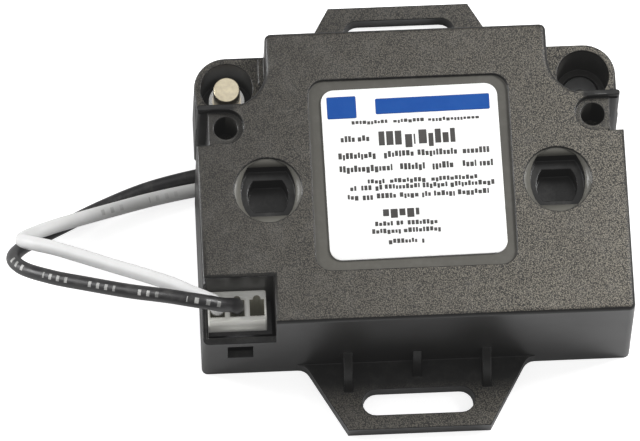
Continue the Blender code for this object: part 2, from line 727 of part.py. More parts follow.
def plug(look):
    x, y, w, d = PLUG_X, PLUG_Y, PLUG_WIDTH / 2, PLUG_DEPTH / 2
    bm = prism_mesh([(x - w, y - d), (x + w, y - d), (x + w, y + d), (x - w, y + d)],
                    PLUG_TOP - PLUG_LENGTH, PLUG_TOP)
    uprights = [e for e in bm.edges if abs(e.verts[0].co.z - e.verts[1].co.z) > 0.001]
    bmesh.ops.bevel(bm, geom=uprights, offset=0.0003, segments=1, profile=0.5,
                    affect="EDGES", material=-1)
    made = finish("plug_housing", bm, look)
    low = PLUG_TOP - PLUG_LENGTH
    hole = PIN_HALF + 2 * GAP
    for index in range(3):
        combine(made, way_cutter(index))
        combine(made, way_mouth(index))
        wx = way_x(index)
        combine(made, box(f"pin_way_{index}", wx - hole, wx + hole, y - hole, y + hole,
                          low - 0.001, low + WAY_FLOOR + 0.001))
    return made


def terminal(index, look):
    """Box receptacle over the pin, with a crimp barrel that faces the lead."""
    x, y, h = way_x(index), PLUG_Y, TERMINAL_HALF
    low = PLUG_TOP - PLUG_LENGTH + WAY_FLOOR + GAP
    made = box(f"terminal_{index + 1}", x - h, x + h, y - h, y + h, low,
               low + TERMINAL_LENGTH, look)
    pin = PIN_HALF + GAP
    combine(made, box(f"pin_bore_{index}", x - pin, x + pin, y - pin, y + pin,
                      low - 0.001, low + TERMINAL_LENGTH - 0.0012))
    foot = low + TERMINAL_LENGTH - 0.0005
    barrel = cylinder(f"barrel_{index}", (x, y, foot), h * 1.12,
                      PLUG_TOP - LEAD_SINK - GAP - foot, segments=16)
    join(made, barrel)
    return made


def header(look):
    """Pin header on the board under the plug, with a shroud before and beside the plug."""
    top = PLUG_TOP - PLUG_LENGTH - GAP
    w, d = PLUG_WIDTH / 2 - HEADER_INSET, PLUG_DEPTH / 2
    made = box("pin_header", PLUG_X - w, PLUG_X + w, PLUG_Y - d, PLUG_Y + d, SEAT,
               min(top, SEAT + HEADER_HEIGHT), look)
    front = PLUG_Y - PLUG_DEPTH / 2 - GAP
    right = PLUG_X + PLUG_WIDTH / 2 + GAP
    left = PLUG_X - PLUG_WIDTH / 2
    lap = SHROUD_WALL
    join(made, box("shroud_front", left, right + SHROUD_WALL, front - SHROUD_WALL, front,
                   SEAT + GAP, SHROUD_TOP))
    join(made, box("shroud_side", right, right + SHROUD_WALL - GAP / 10, front - lap / 2,
                   PLUG_Y + PLUG_DEPTH / 2 - GAP, SEAT + 2 * GAP, SHROUD_TOP - GAP / 10))
    join(made, box("shroud_foot", left + lap, right + lap / 2, front - lap / 2,
                   PLUG_Y, SEAT + 3 * GAP, SEAT + HEADER_HEIGHT - GAP))
    hole = PIN_HALF + GAP
    for index in range(3):
        x = way_x(index)
        combine(made, box(f"header_hole_{index}", x - hole, x + hole, PLUG_Y - hole,
                          PLUG_Y + hole, SEAT - 0.001, top + 0.002))
    return made


def header_pin(index, look):
    x, h = way_x(index), PIN_HALF
    return box(f"header_pin_{index + 1}", x - h, x + h, PLUG_Y - h, PLUG_Y + h, SEAT,
               SEAT + PIN_LENGTH, look)


# Inside the case


def anchor_notch(name):
    """Room for the lead anchor in the left edge of the board and of the potting."""
    outer = CHANNEL_X - SIDE_WALL
    half = ANCHOR_HALF + GAP
    return box(name, -outer - 0.001, -outer + BOARD_NOTCH, LEAD_MIDDLE_Y - half,
               LEAD_MIDDLE_Y + half, BELOW, BOARD_TOP + 0.001)


def board(look):
    made = prism("circuit_board", inner_outline(GAP), BOARD_BASE, BOARD_TOP, look)
    combine(made, anchor_notch("board_notch"))
    return made


def potting(look):
    made = prism("potting", inner_outline(GAP), POTTING_SETBACK, BOARD_BASE - GAP, look)
    combine(made, anchor_notch("potting_notch"))
    return made


def anchor(look):
    """Block in the board's side notch that holds the ends of both leads."""
    outer = CHANNEL_X - SIDE_WALL - GAP
    inner = CHANNEL_X - SIDE_WALL - BOARD_NOTCH + GAP
    half = ANCHOR_HALF
    made = box("lead_anchor", -outer, -inner, LEAD_MIDDLE_Y - half, LEAD_MIDDLE_Y + half,
               LEAD_ENTRY_Z - LEAD_RADIUS, ANCHOR_TOP, look)
    for index, y in enumerate(lead_entries()):
        start = (-LEAD_START + GAP, y, LEAD_ENTRY_Z)
        bore = cylinder(f"anchor_bore_{index}", start, LEAD_RADIUS + GAP,
                        -BOARD_NOTCH - 2 * SIDE_WALL, axis="X", segments=20)
        combine(made, bore)
    return made


def lead_entries():
    """Y of the lead further back and of the one in front."""
    return (LEAD_MIDDLE_Y + LEAD_SPACING / 2, LEAD_MIDDLE_Y - LEAD_SPACING / 2)


def core_half(side, look):
    """One U of the ferrite core: an end plate with half of each leg."""
    end = (CORE_RIGHT - CORE_LEFT) / 2
    plate = end - CORE_PLATE
    z0, z1 = COIL_Z - CORE_HEIGHT / 2, COIL_Z + CORE_HEIGHT / 2
    y0 = RETURN_LEG_FRONT
    y1 = COIL_Y + LEG_RADIUS + CORE_CHEEK
    name = "core_left" if side < 0 else "core_right"
    a, b = sorted((COIL_X + side * plate, COIL_X + side * end))
    made = box(name, a, b, y0, y1, z0, z1, look)
    a, b = sorted((COIL_X + side * GAP / 2, COIL_X + side * (plate + 0.001)))
    join(made, box(name + "_return", a, b, y0 + 1e-5, y0 + RETURN_LEG_THICKNESS,
                   z0 + 1e-5, z1 - 1e-5))
    join(made, cylinder(name + "_leg", (a, COIL_Y, COIL_Z), LEG_RADIUS, b - a, axis="X",
                        segments=24))
    return made


def bobbin(name, start, pitch, sections, disc_radius, look):
    """Tube with evenly spaced discs, turned as one profile about the coil's axis."""
    inner = LEG_RADIUS + GAP
    tube = inner + TUBE_WALL
    length = pitch * sections + FLANGE_DISC
    profile = [(inner, 0)]
    for i in range(sections + 1):
        a = i * pitch
        profile += [(disc_radius, a), (disc_radius, a + FLANGE_DISC)]
        if i < sections:
            profile += [(tube, a + FLANGE_DISC), (tube, a + pitch)]
    profile.append((inner, length))
    return turned(name, profile, (start, COIL_Y, COIL_Z), "X", look, 24)


def winding(name, start, length, outer, look):
    inner = LEG_RADIUS + 2 * GAP + TUBE_WALL
    profile = [(inner, 0), (outer, 0), (outer, length), (inner, length)]
    return turned(name, profile, (start, COIL_Y, COIL_Z), "X", look, 24)


def transformer(looks):
    core_half(-1, looks["ferrite"])
    core_half(1, looks["ferrite"])
    start = COIL_START
    bobbin("secondary_bobbin", start, SECONDARY_PITCH, SECONDARY_SECTIONS,
           SECONDARY_DISC_RADIUS, looks["nylon"])
    for i in range(SECONDARY_SECTIONS):
        a = start + i * SECONDARY_PITCH + FLANGE_DISC + GAP
        winding(f"secondary_winding_{i + 1}", a, SECONDARY_PITCH - FLANGE_DISC - 2 * GAP,
                SECONDARY_WIRE_RADIUS, looks["copper"])
    second = start + SECONDARY_PITCH * SECONDARY_SECTIONS + FLANGE_DISC + GAP
    pitch = PRIMARY_LENGTH - FLANGE_DISC
    bobbin("primary_bobbin", second, pitch, 1, PRIMARY_DISC_RADIUS, looks["nylon"])
    winding("primary_winding", second + FLANGE_DISC + GAP,
            pitch - FLANGE_DISC - 2 * GAP, PRIMARY_WIRE_RADIUS, looks["copper"])


def coil_cradle(look):
    """Saddle under the secondary bobbin that stands on the board."""
    start = COIL_START
    length = SECONDARY_PITCH * SECONDARY_SECTIONS + FLANGE_DISC
    radius = SECONDARY_DISC_RADIUS + GAP
    half = radius * 0.7
    made = box("coil_cradle", start + CRADLE_INSET, start + length - CRADLE_INSET,
               COIL_Y - half, COIL_Y + half, SEAT, COIL_Z - radius * 0.55, look)
    combine(made, cylinder("cradle_bore", (start - 0.002, COIL_Y, COIL_Z), radius,
                           length + 0.004, axis="X", segments=48))
    return made


def core_stand(side, look):
    """Spacer that carries one end of the core above the board."""
    end = CORE_LEFT + CORE_PLATE / 2 if side < 0 else CORE_RIGHT - CORE_PLATE / 2
    half = CORE_PLATE / 2 - CORE_STAND_INSET
    name = "core_stand_left" if side < 0 else "core_stand_right"
    return box(name, end - half, end + half, RETURN_LEG_FRONT, COIL_Y + CORE_STAND_LAP, SEAT,
               COIL_Z - CORE_HEIGHT / 2 - GAP, look)


def hv_conductor(look):
    """Stiff wire from the first winding's edge to the foot of the post."""
    radius = CONDUCTOR_RADIUS
    start = COIL_START + FLANGE_DISC + SECONDARY_PITCH / 2
    z = POST_FOOT - GAP - radius
    outside = COIL_Y + SECONDARY_WIRE_RADIUS + GAP + radius + 0.0001
    points = [(start, outside, COIL_Z), (start, outside, COIL_Z - 0.005),
              (start - 0.0004, outside - 0.0001, z + 0.002),
              (start - 0.0022, outside - 0.0003, z),
              (-WELL_X + 0.006, WELL_Y + 0.0022, z), (-WELL_X, WELL_Y, z)]
    curve = bpy.data.curves.new("hv_conductor", "CURVE")
    curve.dimensions = "3D"
    curve.bevel_depth = radius
    curve.bevel_resolution = 2
    curve.use_fill_caps = True
    line = curve.splines.new("POLY")
    line.points.add(len(points) - 1)
    for point, place in zip(line.points, points):
        point.co = (*place, 1)
    made = bpy.data.objects.new("hv_conductor", curve)
    bpy.context.scene.collection.objects.link(made)
    curve.materials.append(look)
    return made


def filter_capacitor(look):
    place = (FILTER_LEFT, FRONT_ROW + FILTER_RADIUS, SEAT + FILTER_RADIUS)
    return cylinder("filter_capacitor", place, FILTER_RADIUS, FILTER_LENGTH, axis="X",
                    look=look, segments=32, chamfer=FILTER_CHAMFER)


def standing_box(name, x0, y0, width, depth, height, look):
    """A boxed component with rounded uprights, standing on the board."""
    outline = rounded_box(x0, x0 + width, y0, y0 + depth, [BOX_CORNER] * 4, 2)
    return prism(name, outline, SEAT, SEAT + height, look)


def fuse(looks):
    """Glass fuse: a tube between two end caps that rest on the board."""
    cap = FUSE_RADIUS + FUSE_CAP_WALL
    y, z = FRONT_ROW + cap, SEAT + cap
    tube = FUSE_LEFT + FUSE_CAP_LENGTH + GAP
    cylinder("fuse_tube", (tube, y, z), FUSE_RADIUS, FUSE_LENGTH, axis="X",
             look=looks["glass"], segments=20)
    for name, start in (("fuse_cap_left", FUSE_LEFT),
                        ("fuse_cap_right", tube + FUSE_LENGTH + GAP)):
        cylinder(name, (start, y, z), cap, FUSE_CAP_LENGTH, axis="X", look=looks["tin"],
                 segments=20)


def rectifier(look):
    """Bridge rectifier behind the fuse, its right end in line with the fuse's."""
    rear_of_fuse = FRONT_ROW + 2 * (FUSE_RADIUS + FUSE_CAP_WALL)
    return standing_box("rectifier", RIGHT_COLUMN - RECTIFIER_WIDTH, rear_of_fuse + PART_GAP,
                        RECTIFIER_WIDTH, RECTIFIER_DEPTH, RECTIFIER_HEIGHT, look)


def heat_sink(look):
    """Finned plate that stands on the board behind the transistor."""
    half = SINK_WIDTH / 2
    x, y = RIGHT_COLUMN - half, SINK_FRONT
    outline = [(x - half, y), (x + half, y)]
    pitch = (SINK_WIDTH - SINK_FIN) / (SINK_FINS - 1)
    for i in reversed(range(SINK_FINS)):
        a = x - half + i * pitch
        outline += [(a + SINK_FIN, SINK_REAR), (a, SINK_REAR)]
        if i:
            outline += [(a, y + SINK_BASE), (a - pitch + SINK_FIN, y + SINK_BASE)]
    return prism("heat_sink", outline, SEAT, SEAT + SINK_HEIGHT, look)


def transistor(looks):
    """Tabbed power transistor whose tab lies flat against the heat sink."""
    x, y, w = RIGHT_COLUMN - SINK_WIDTH / 2, SINK_FRONT - GAP, TAB_HALF_WIDTH
    box("transistor_tab", x - w, x + w, y - TAB_THICKNESS, y, SEAT,
        SEAT + SINK_HEIGHT - TAB_DROP, looks["tin"])
    y -= TAB_THICKNESS + GAP
    box("transistor_body", x - w, x + w, y - TRANSISTOR_DEPTH, y, SEAT,
        SEAT + SINK_HEIGHT - TRANSISTOR_DROP, looks["epoxy"])


def choke(looks):
    """Drum core with a winding between its discs."""
    r, h, d, c = CHOKE_RADIUS, CHOKE_HEIGHT, CHOKE_DISC, CHOKE_CORE_RADIUS
    place = (COIL_X - CHOKE_SHIFT, SECOND_ROW + r, SEAT)
    profile = [(0, 0), (r, 0), (r, d), (c, d), (c, h - d), (r, h - d), (r, h), (0, h)]
    turned("choke_core", profile, place, look=looks["ferrite"], segments=24)
    wire = r - CHOKE_WIRE_SETBACK
    coil = [(c + GAP, d + GAP), (wire, d + GAP), (wire, h - d - GAP), (c + GAP, h - d - GAP)]
    turned("choke_winding", coil, place, look=looks["copper"], segments=24)


def resistors(look):
    for index in range(2):
        y = SECOND_ROW + RESISTOR_RADIUS + index * RESISTOR_PITCH
        cylinder(f"resistor_{index + 1}", (COIL_X + RESISTOR_SHIFT, y, SEAT + RESISTOR_RADIUS),
                 RESISTOR_RADIUS, RESISTOR_LENGTH, axis="X", look=look, segments=16,
                 chamfer=RESISTOR_CHAMFER)


# The two leads


def catmull_rom(points, spacing):
    """Points about one spacing apart on a smooth curve through the given ones."""
    given = [Vector(p) for p in points]
    ends = [given[0] * 2 - given[1]] + given + [given[-1] * 2 - given[-2]]
    out = []
    for i in range(1, len(ends) - 2):
        p0, p1, p2, p3 = ends[i - 1:i + 3]
        knots = [0.0]
        for a, b in ((p0, p1), (p1, p2), (p2, p3)):
            knots.append(knots[-1] + max((b - a).length, 1e-6) ** 0.5)
        steps = max(1, round((p2 - p1).length / spacing))
        for k in range(steps):
            t = knots[1] + (knots[2] - knots[1]) * k / steps
            out.append(curve_point((p0, p1, p2, p3), knots, t))
    out.append(given[-1])
    return out


def curve_point(points, knots, t):
    level = list(points)
    for width in (1, 2):
        nxt = []
        for i in range(len(level) - 1):
            a, b = knots[i], knots[i + width]
            if width == 2:
                a, b = knots[i], knots[i + 2]
            nxt.append(level[i].lerp(level[i + 1], (t - a) / (b - a)))
        level = nxt
    return level[0].lerp(level[1], (t - knots[1]) / (knots[2] - knots[1]))


def lead(name, route, look):
    """Round insulated lead along a smooth curve through its route."""
    curve = bpy.data.curves.new(name, "CURVE")
    curve.dimensions = "3D"
    curve.bevel_depth = LEAD_RADIUS
    curve.bevel_resolution = 2
    curve.use_fill_caps = True
    line = curve.splines.new("POLY")
    points = catmull_rom(route, LEAD_RADIUS * 4)
    line.points.add(len(points) - 1)
    for point, place in zip(line.points, points):
        point.co = (*place, 1)
    made = bpy.data.objects.new(name, curve)
    bpy.context.scene.collection.objects.link(made)
    curve.materials.append(look)
    return made


def lead_route(entry_y, free, way):
    """Route from the lead's anchor, through its free points, down into its cavity."""
    end = PLUG_TOP - LEAD_SINK
    x, y, z = way_x(way), PLUG_Y - LEAD_END_SETBACK, LEAD_ENTRY_Z
    route = [(-LEAD_START, entry_y, z), (-LEAD_START - 0.0032, entry_y, z)]
    return route + free + [(x, y, end + 0.0016), (x, y, end)]


BLACK_FREE = [
    (-0.0485, 0.0129, 0.0021),
    (-0.0620, 0.0100, 0.0018),
    (-0.0736, 0.0056, 0.0018),
    (-0.0829, 0.0011, 0.0022),
    (-0.0887, -0.0023, 0.0040),
    (-0.0927, -0.0057, 0.0075),
    (-0.0945, -0.0095, 0.0120),
    (-0.0924, -0.0136, 0.0170),
    (-0.0854, -0.0181, 0.0228),
    (-0.0771, -0.0218, 0.0280),
    (-0.0672, -0.0258, 0.0335),
    (-0.0579, -0.0289, 0.0380),
    (-0.0533, -0.0303, 0.0393),
    (-0.0494, -0.0310, 0.0390),
    (-0.0459, -0.0311, 0.0369),
    (-0.0436, -0.0303, 0.0339),
    (-0.0426, -0.0294, 0.0308),
]
WHITE_FREE = [
    (-0.0485, 0.0093, 0.0022),
    (-0.0594, 0.0071, 0.0034),
    (-0.0710, 0.0038, 0.0052),
    (-0.0785, 0.0016, 0.0062),
    (-0.0843, -0.0003, 0.0074),
    (-0.0890, -0.0025, 0.0094),
    (-0.0922, -0.0058, 0.0145),
    (-0.0889, -0.0087, 0.0196),
    (-0.0843, -0.0109, 0.0223),
    (-0.0714, -0.0171, 0.0270),
    (-0.0628, -0.0215, 0.0310),
    (-0.0566, -0.0250, 0.0342),
    (-0.0530, -0.0272, 0.0352),
    (-0.0500, -0.0283, 0.0343),
    (-0.0479, -0.0286, 0.0320),
    (-0.0471, -0.0286, 0.0294),
]


def looks_table():
    return {
        "case": material("case_plastic", (0.045, 0.043, 0.040), 0.62),
        "label": material("label_film", (0.86, 0.86, 0.84), 0.45),
        "post": material("post_nickel", (0.80, 0.77, 0.70), 0.28, 1.0),
        "nylon": material("natural_nylon", (0.80, 0.79, 0.74), 0.45),
        "blank": material("blank_plastic", (0.06, 0.06, 0.06), 0.55),
        "black_lead": material("black_insulation", (0.035, 0.035, 0.037), 0.45),
        "white_lead": material("white_insulation", (0.82, 0.81, 0.79), 0.45),
        "board": material("board_laminate", (0.10, 0.26, 0.12), 0.5),
        "potting": material("potting_resin", (0.03, 0.03, 0.03), 0.4),
        "tin": material("tinned_metal", (0.72, 0.72, 0.70), 0.35, 1.0),
        "ferrite": material("ferrite", (0.10, 0.10, 0.11), 0.6),
        "copper": material("winding_copper", (0.62, 0.28, 0.12), 0.4, 1.0),
        "epoxy": material("component_epoxy", (0.05, 0.05, 0.055), 0.5),
        "glass": material("fuse_glass", (0.85, 0.88, 0.88), 0.15),
        "aluminium": material("sink_aluminium", (0.62, 0.63, 0.64), 0.4, 1.0),
        "film": material("film_blue", (0.08, 0.16, 0.38), 0.5),
        "can": material("capacitor_sleeve", (0.05, 0.07, 0.12), 0.4),
        "resistor": material("resistor_body", (0.62, 0.52, 0.36), 0.5),
    }


def main():
    clear_scene()
    looks = looks_table()
    case(looks["case"])
    label(looks["label"])
    post(looks["post"])
    sleeve(looks["nylon"])
    blank(looks["blank"])
    plug(looks["nylon"])
    for index in (0, 1):
        terminal(index, looks["tin"])
    header(looks["epoxy"])
    for index in range(3):
        header_pin(index, looks["tin"])
    board(looks["board"])
    potting(looks["potting"])
    anchor(looks["epoxy"])
    transformer(looks)
    coil_cradle(looks["nylon"])
    core_stand(-1, looks["nylon"])
    core_stand(1, looks["nylon"])
    hv_conductor(looks["tin"])
    filter_capacitor(looks["can"])
    standing_box("storage_capacitor", STORAGE_LEFT, FRONT_ROW, STORAGE_WIDTH, STORAGE_DEPTH,
                 STORAGE_HEIGHT, looks["film"])
    rectifier(looks["epoxy"])
    fuse(looks)
    heat_sink(looks["aluminium"])
    transistor(looks)
    choke(looks)
    resistors(looks["resistor"])
    far, near = lead_entries()
    lead("black_lead", lead_route(far, BLACK_FREE, 1), looks["black_lead"])
    lead("white_lead", lead_route(near, WHITE_FREE, 0), looks["white_lead"])


main()
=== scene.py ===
import math
import random

import bmesh
import bpy
from mathutils import Matrix, Vector


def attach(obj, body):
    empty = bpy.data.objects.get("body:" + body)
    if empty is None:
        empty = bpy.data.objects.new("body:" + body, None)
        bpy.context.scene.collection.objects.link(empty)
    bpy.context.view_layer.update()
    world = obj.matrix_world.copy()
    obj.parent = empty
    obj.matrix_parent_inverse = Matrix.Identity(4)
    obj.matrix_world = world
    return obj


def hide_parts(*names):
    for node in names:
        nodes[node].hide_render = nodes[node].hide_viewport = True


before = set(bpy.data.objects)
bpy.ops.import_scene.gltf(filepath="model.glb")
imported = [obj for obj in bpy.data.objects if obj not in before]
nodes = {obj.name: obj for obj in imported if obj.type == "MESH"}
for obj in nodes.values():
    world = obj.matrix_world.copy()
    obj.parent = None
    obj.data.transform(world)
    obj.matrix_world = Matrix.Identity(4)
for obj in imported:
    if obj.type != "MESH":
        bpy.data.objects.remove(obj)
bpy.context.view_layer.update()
print("frame loaded:", len(nodes), "nodes")

scene = bpy.context.scene
scene.view_settings.view_transform = "Standard"
scene.view_settings.look = "None"
scene.view_settings.use_curve_mapping = True
scene.view_settings.curve_mapping.black_level = [-0.0075] * 3  # a little lens flare
scene.view_settings.curve_mapping.update()


# camera, set from the case's corners and edges in the picture
cameraSetup = {
    "azimuth": -5.117,  # degrees
    "elevation": 71.413,
    "roll": 2.589,
    "distance": 1.42618,  # metres from the target
    "lens": 339.14,  # mm
    "sensor": 36,
    "clip": (0.05, 20),
    "target": (-0.02164, -0.00513, 0.018),
}


def makeCamera(setup):
    turn, rise = math.radians(setup["azimuth"]), math.radians(setup["elevation"])
    tilt = math.radians(setup["roll"])
    look = Vector((-math.sin(turn) * math.cos(rise), math.cos(turn) * math.cos(rise), -math.sin(rise)))
    right = Vector((math.cos(turn), math.sin(turn), 0))
    up = right.cross(look)
    side = right * math.cos(tilt) + up * math.sin(tilt)
    top = up * math.cos(tilt) - right * math.sin(tilt)
    data = bpy.data.cameras.new("camera")
    data.lens = setup["lens"]
    data.sensor_width = setup["sensor"]
    data.clip_start, data.clip_end = setup["clip"]
    made = bpy.data.objects.new("camera", data)
    scene.collection.objects.link(made)
    place = Vector(setup["target"]) - look * setup["distance"]
    made.matrix_world = Matrix((
        (side.x, top.x, -look.x, place.x),
        (side.y, top.y, -look.y, place.y),
        (side.z, top.z, -look.z, place.z),
        (0, 0, 0, 1),
    ))
    scene.camera = made


makeCamera(cameraSetup)
print("camera placed")


# node helpers
mixSockets = {"RGBA": (6, 7, 2), "FLOAT": (2, 3, 0)}  # first and second value, and the result


def addNode(tree, kind, **values):
    made = tree.nodes.new(kind)
    for key, value in values.items():
        setattr(made, key, value)
    return made


def setInputs(node, values):
    for key, value in values.items():
        node.inputs[key].default_value = value


def setOrLink(tree, socket, value):
    if isinstance(value, (int, float)):
        socket.default_value = value
    elif isinstance(value, tuple):
        socket.default_value = (*value, 1)  # a colour
    else:
        tree.links.new(value, socket)


def newGroup(name, inputs, outputs):
    group = bpy.data.node_groups.new(name, "ShaderNodeTree")
    for label, value in inputs.items():
        socket = group.interface.new_socket(name=label, in_out="INPUT", socket_type="NodeSocketFloat")
        socket.default_value = value
    for label, kind in outputs.items():
        group.interface.new_socket(name=label, in_out="OUTPUT", socket_type=kind)
    return group, addNode(group, "NodeGroupInput").outputs, addNode(group, "NodeGroupOutput").inputs


def newMaterial(name, roughness=0.5, metallic=0.0):
    made = bpy.data.materials.new(name)
    made.use_nodes = True
    shader = made.node_tree.nodes["Principled BSDF"]
    setInputs(shader, {"Roughness": roughness, "Metallic": metallic})
    return made, made.node_tree, shader


def mathNode(tree, operation, *values):
    made = addNode(tree, "ShaderNodeMath", operation=operation)
    for socket, value in zip(made.inputs, values):
        setOrLink(tree, socket, value)
    return made.outputs[0]


def times(tree, *values):
    product = values[0]
    for value in values[1:]:
        product = mathNode(tree, "MULTIPLY", product, value)
    return product


def most(tree, *values):
    largest = values[0]
    for value in values[1:]:
        largest = mathNode(tree, "MAXIMUM", largest, value)
    return largest


def inverse(tree, value):
    return mathNode(tree, "SUBTRACT", 1.0, value)


def mapRange(tree, value, low, high, toLow=0.0, toHigh=1.0, curve="LINEAR"):
    made = addNode(tree, "ShaderNodeMapRange", interpolation_type=curve)
    setInputs(made, {"From Min": low, "From Max": high, "To Min": toLow, "To Max": toHigh})
    tree.links.new(value, made.inputs["Value"])
    return made.outputs["Result"]


def mixNode(tree, kind, factor, a, b):
    first, second, result = mixSockets[kind]
    made = addNode(tree, "ShaderNodeMix", data_type=kind)
    for index, value in ((0, factor), (first, a), (second, b)):
        setOrLink(tree, made.inputs[index], value)
    return made.outputs[result]


def splitVector(tree, vector):
    made = addNode(tree, "ShaderNodeSeparateXYZ")
    tree.links.new(vector, made.inputs[0])
    return list(made.outputs)


def objectPlace(tree):
    return addNode(tree, "ShaderNodeTexCoord").outputs["Object"]


def facingNormal(tree):
    return addNode(tree, "ShaderNodeNewGeometry").outputs["Normal"]


def noise(tree, scale, detail, roughness=0.5):
    made = addNode(tree, "ShaderNodeTexNoise")
    setInputs(made, {"Detail": detail, "Roughness": roughness})
    tree.links.new(objectPlace(tree), made.inputs["Vector"])
    tree.links.new(scale, made.inputs["Scale"])
    return made.outputs["Fac"]


def addBump(tree, shader, height, strength, distance, rounded=None):
    made = addNode(tree, "ShaderNodeBump")
    setInputs(made, {"Strength": strength, "Distance": distance})
    tree.links.new(height, made.inputs["Height"])
    if rounded is not None:
        tree.links.new(rounded, made.inputs["Normal"])
    tree.links.new(made.outputs["Normal"], shader.inputs["Normal"])


# floor and studio light
studio = {
    "floorSize": 6.0,
    "floorColor": (0.60, 0.60, 0.60),
    "floorGlow": 0.80,  # a light table: the shadow on it all but goes
    "floorFar": (0.89, 0.89, 0.89),  # what the glossy walls see of it: no glow
    "floorBehind": (0.34, 0.34, 0.34),  # and behind the case, where the studio is dim
    "dimsFrom": (-0.02, 0.10),  # where it dims, from front to rear
    "floorRoughness": 0.9,
    "floorSpecular": 0.2,
    "skyStrength": (0.06, 0.44),  # at the horizon, so that upright rims stay dark, and overhead
    "skyRise": (0.20, 0.66),  # sine of the elevation where the sky starts to brighten and where it is full
}
lights = {
    "keyLight": {"place": (0.46, 0.16, 0.50), "aim": (0, 0, 0.02), "size": 0.20, "power": 4.2},
    "sideLight": {"place": (-0.48, 0.16, 0.46), "aim": (0, 0, 0.02), "size": 0.12, "power": 0.8},
    "topLight": {"place": (0.04, 0.44, 1.32), "aim": (0, 0, 0.02), "size": 0.95, "power": 1.6},
    "leftCard": {"place": (-0.90, 0.30, 0.16), "aim": (0, 0, 0.02), "size": 0.34, "power": 6.0},
}


def makeFloorPaint(setup):
    made, tree, shader = newMaterial("floorPaint", setup["floorRoughness"])
    setInputs(shader, {"Specular IOR Level": setup["floorSpecular"], "Emission Color": (1, 1, 1, 1)})
    seen = addNode(tree, "ShaderNodeLightPath").outputs["Is Camera Ray"]
    behind = mapRange(tree, splitVector(tree, objectPlace(tree))[1], *setup["dimsFrom"])
    far = mixNode(tree, "RGBA", behind, setup["floorFar"], setup["floorBehind"])
    tree.links.new(mixNode(tree, "RGBA", seen, far, setup["floorColor"]), shader.inputs["Base Color"])
    tree.links.new(times(tree, seen, setup["floorGlow"]), shader.inputs["Emission Strength"])
    return made


def makeFloor(setup):
    bm = bmesh.new()
    bmesh.ops.create_grid(bm, x_segments=1, y_segments=1, size=setup["floorSize"] / 2)
    mesh = bpy.data.meshes.new("floor")
    bm.to_mesh(mesh)
    bm.free()
    floor = bpy.data.objects.new("floor", mesh)
    scene.collection.objects.link(floor)
    floor.data.materials.append(makeFloorPaint(setup))


def makeSky(setup):
    world = bpy.data.worlds.new("world")
    scene.world = world
    world.use_nodes = True
    tree = world.node_tree
    sky = tree.nodes["Background"]
    sky.inputs["Color"].default_value = (1, 1, 1, 1)
    height = splitVector(tree, addNode(tree, "ShaderNodeTexCoord").outputs["Generated"])[2]
    strength = mapRange(tree, height, *setup["skyRise"], *setup["skyStrength"], curve="SMOOTHSTEP")
    tree.links.new(strength, sky.inputs["Strength"])


def makeLight(name, setup):
    data = bpy.data.lights.new(name, "AREA")
    data.shape = "SQUARE"
    data.size = setup["size"]
    data.energy = setup["power"]
    made = bpy.data.objects.new(name, data)
    made.location = setup["place"]
    reach = Vector(setup["aim"]) - Vector(setup["place"])
    made.rotation_euler = reach.to_track_quat("-Z", "Y").to_euler()
    scene.collection.objects.link(made)


makeFloor(studio)
makeSky(studio)
for name, light in lights.items():
    makeLight(name, light)
print("studio lit")


# spark texture of a mould: small cells, with a soft, cloudy change over a centimetre or two
sparkGrain = {
    "defaults": {"Scale": 3400.0, "Cloud Scale": 60.0},
    "fineDetail": 3.0,
    "fineRoughness": 0.6,
    "fineWeight": 0.6,
    "cellScale": 0.7,  # times the scale of the grain
    "cellSmoothness": 0.6,
    "cellWeight": 0.55,
    "cloudDetail": 3.0,
    "cloudRoughness": 0.55,
    "speckRange": (0.50, 0.80),  # heights at which a pale speck starts and is full
    "cloudRange": (0.35, 0.65),
}


def makeGrainGroup(setup):
    group, given, result = newGroup(
        "sparkGrain", setup["defaults"],
        {"Height": "NodeSocketFloat", "Speck": "NodeSocketFloat", "Cloud": "NodeSocketFloat"})
    fine = noise(group, given["Scale"], setup["fineDetail"], setup["fineRoughness"])
    cloud = noise(group, given["Cloud Scale"], setup["cloudDetail"], setup["cloudRoughness"])
    cells = addNode(group, "ShaderNodeTexVoronoi", feature="SMOOTH_F1")
    cells.inputs["Smoothness"].default_value = setup["cellSmoothness"]
    group.links.new(objectPlace(group), cells.inputs["Vector"])
    group.links.new(times(group, given["Scale"], setup["cellScale"]), cells.inputs["Scale"])
    height = mathNode(group, "MULTIPLY_ADD", inverse(group, cells.outputs["Distance"]), setup["cellWeight"],
                      times(group, fine, setup["fineWeight"]))
    group.links.new(height, result["Height"])
    group.links.new(mapRange(group, height, *setup["speckRange"]), result["Speck"])
    group.links.new(mapRange(group, cloud, *setup["cloudRange"]), result["Cloud"])
    return group


# sharp edges: a mask of the rims, for the polish and wear that handling gives them and for the painted shade
# on the case's rims, and the normal of a softly rounded rim
edgeWearAndShade = {
    "defaults": {"Radius": 0.0005, "Break Up": 700.0},
    "samples": 8,
    "turnRange": (0.995, 0.90),  # how far the rounded normal leaves the face's own
    "breakUpDetail": 2.0,
    "breakUpRange": (0.3, 0.6),
    "leastShare": 0.35,
}


def makeEdgeGroup(setup):
    group, given, result = newGroup("edgeWearAndShade", setup["defaults"],
                                    {"Edge": "NodeSocketFloat", "Rounded": "NodeSocketVector"})
    bevel = addNode(group, "ShaderNodeBevel", samples=setup["samples"])
    group.links.new(given["Radius"], bevel.inputs["Radius"])
    group.links.new(bevel.outputs["Normal"], result["Rounded"])
    turn = addNode(group, "ShaderNodeVectorMath", operation="DOT_PRODUCT")
    group.links.new(bevel.outputs["Normal"], turn.inputs[0])
    group.links.new(facingNormal(group), turn.inputs[1])
    edge = mapRange(group, turn.outputs["Value"], *setup["turnRange"])
    breakUp = noise(group, given["Break Up"], setup["breakUpDetail"])
    share = mapRange(group, breakUp, *setup["breakUpRange"], setup["leastShare"], 1.0)
    group.links.new(times(group, edge, share), result["Edge"])
    return group


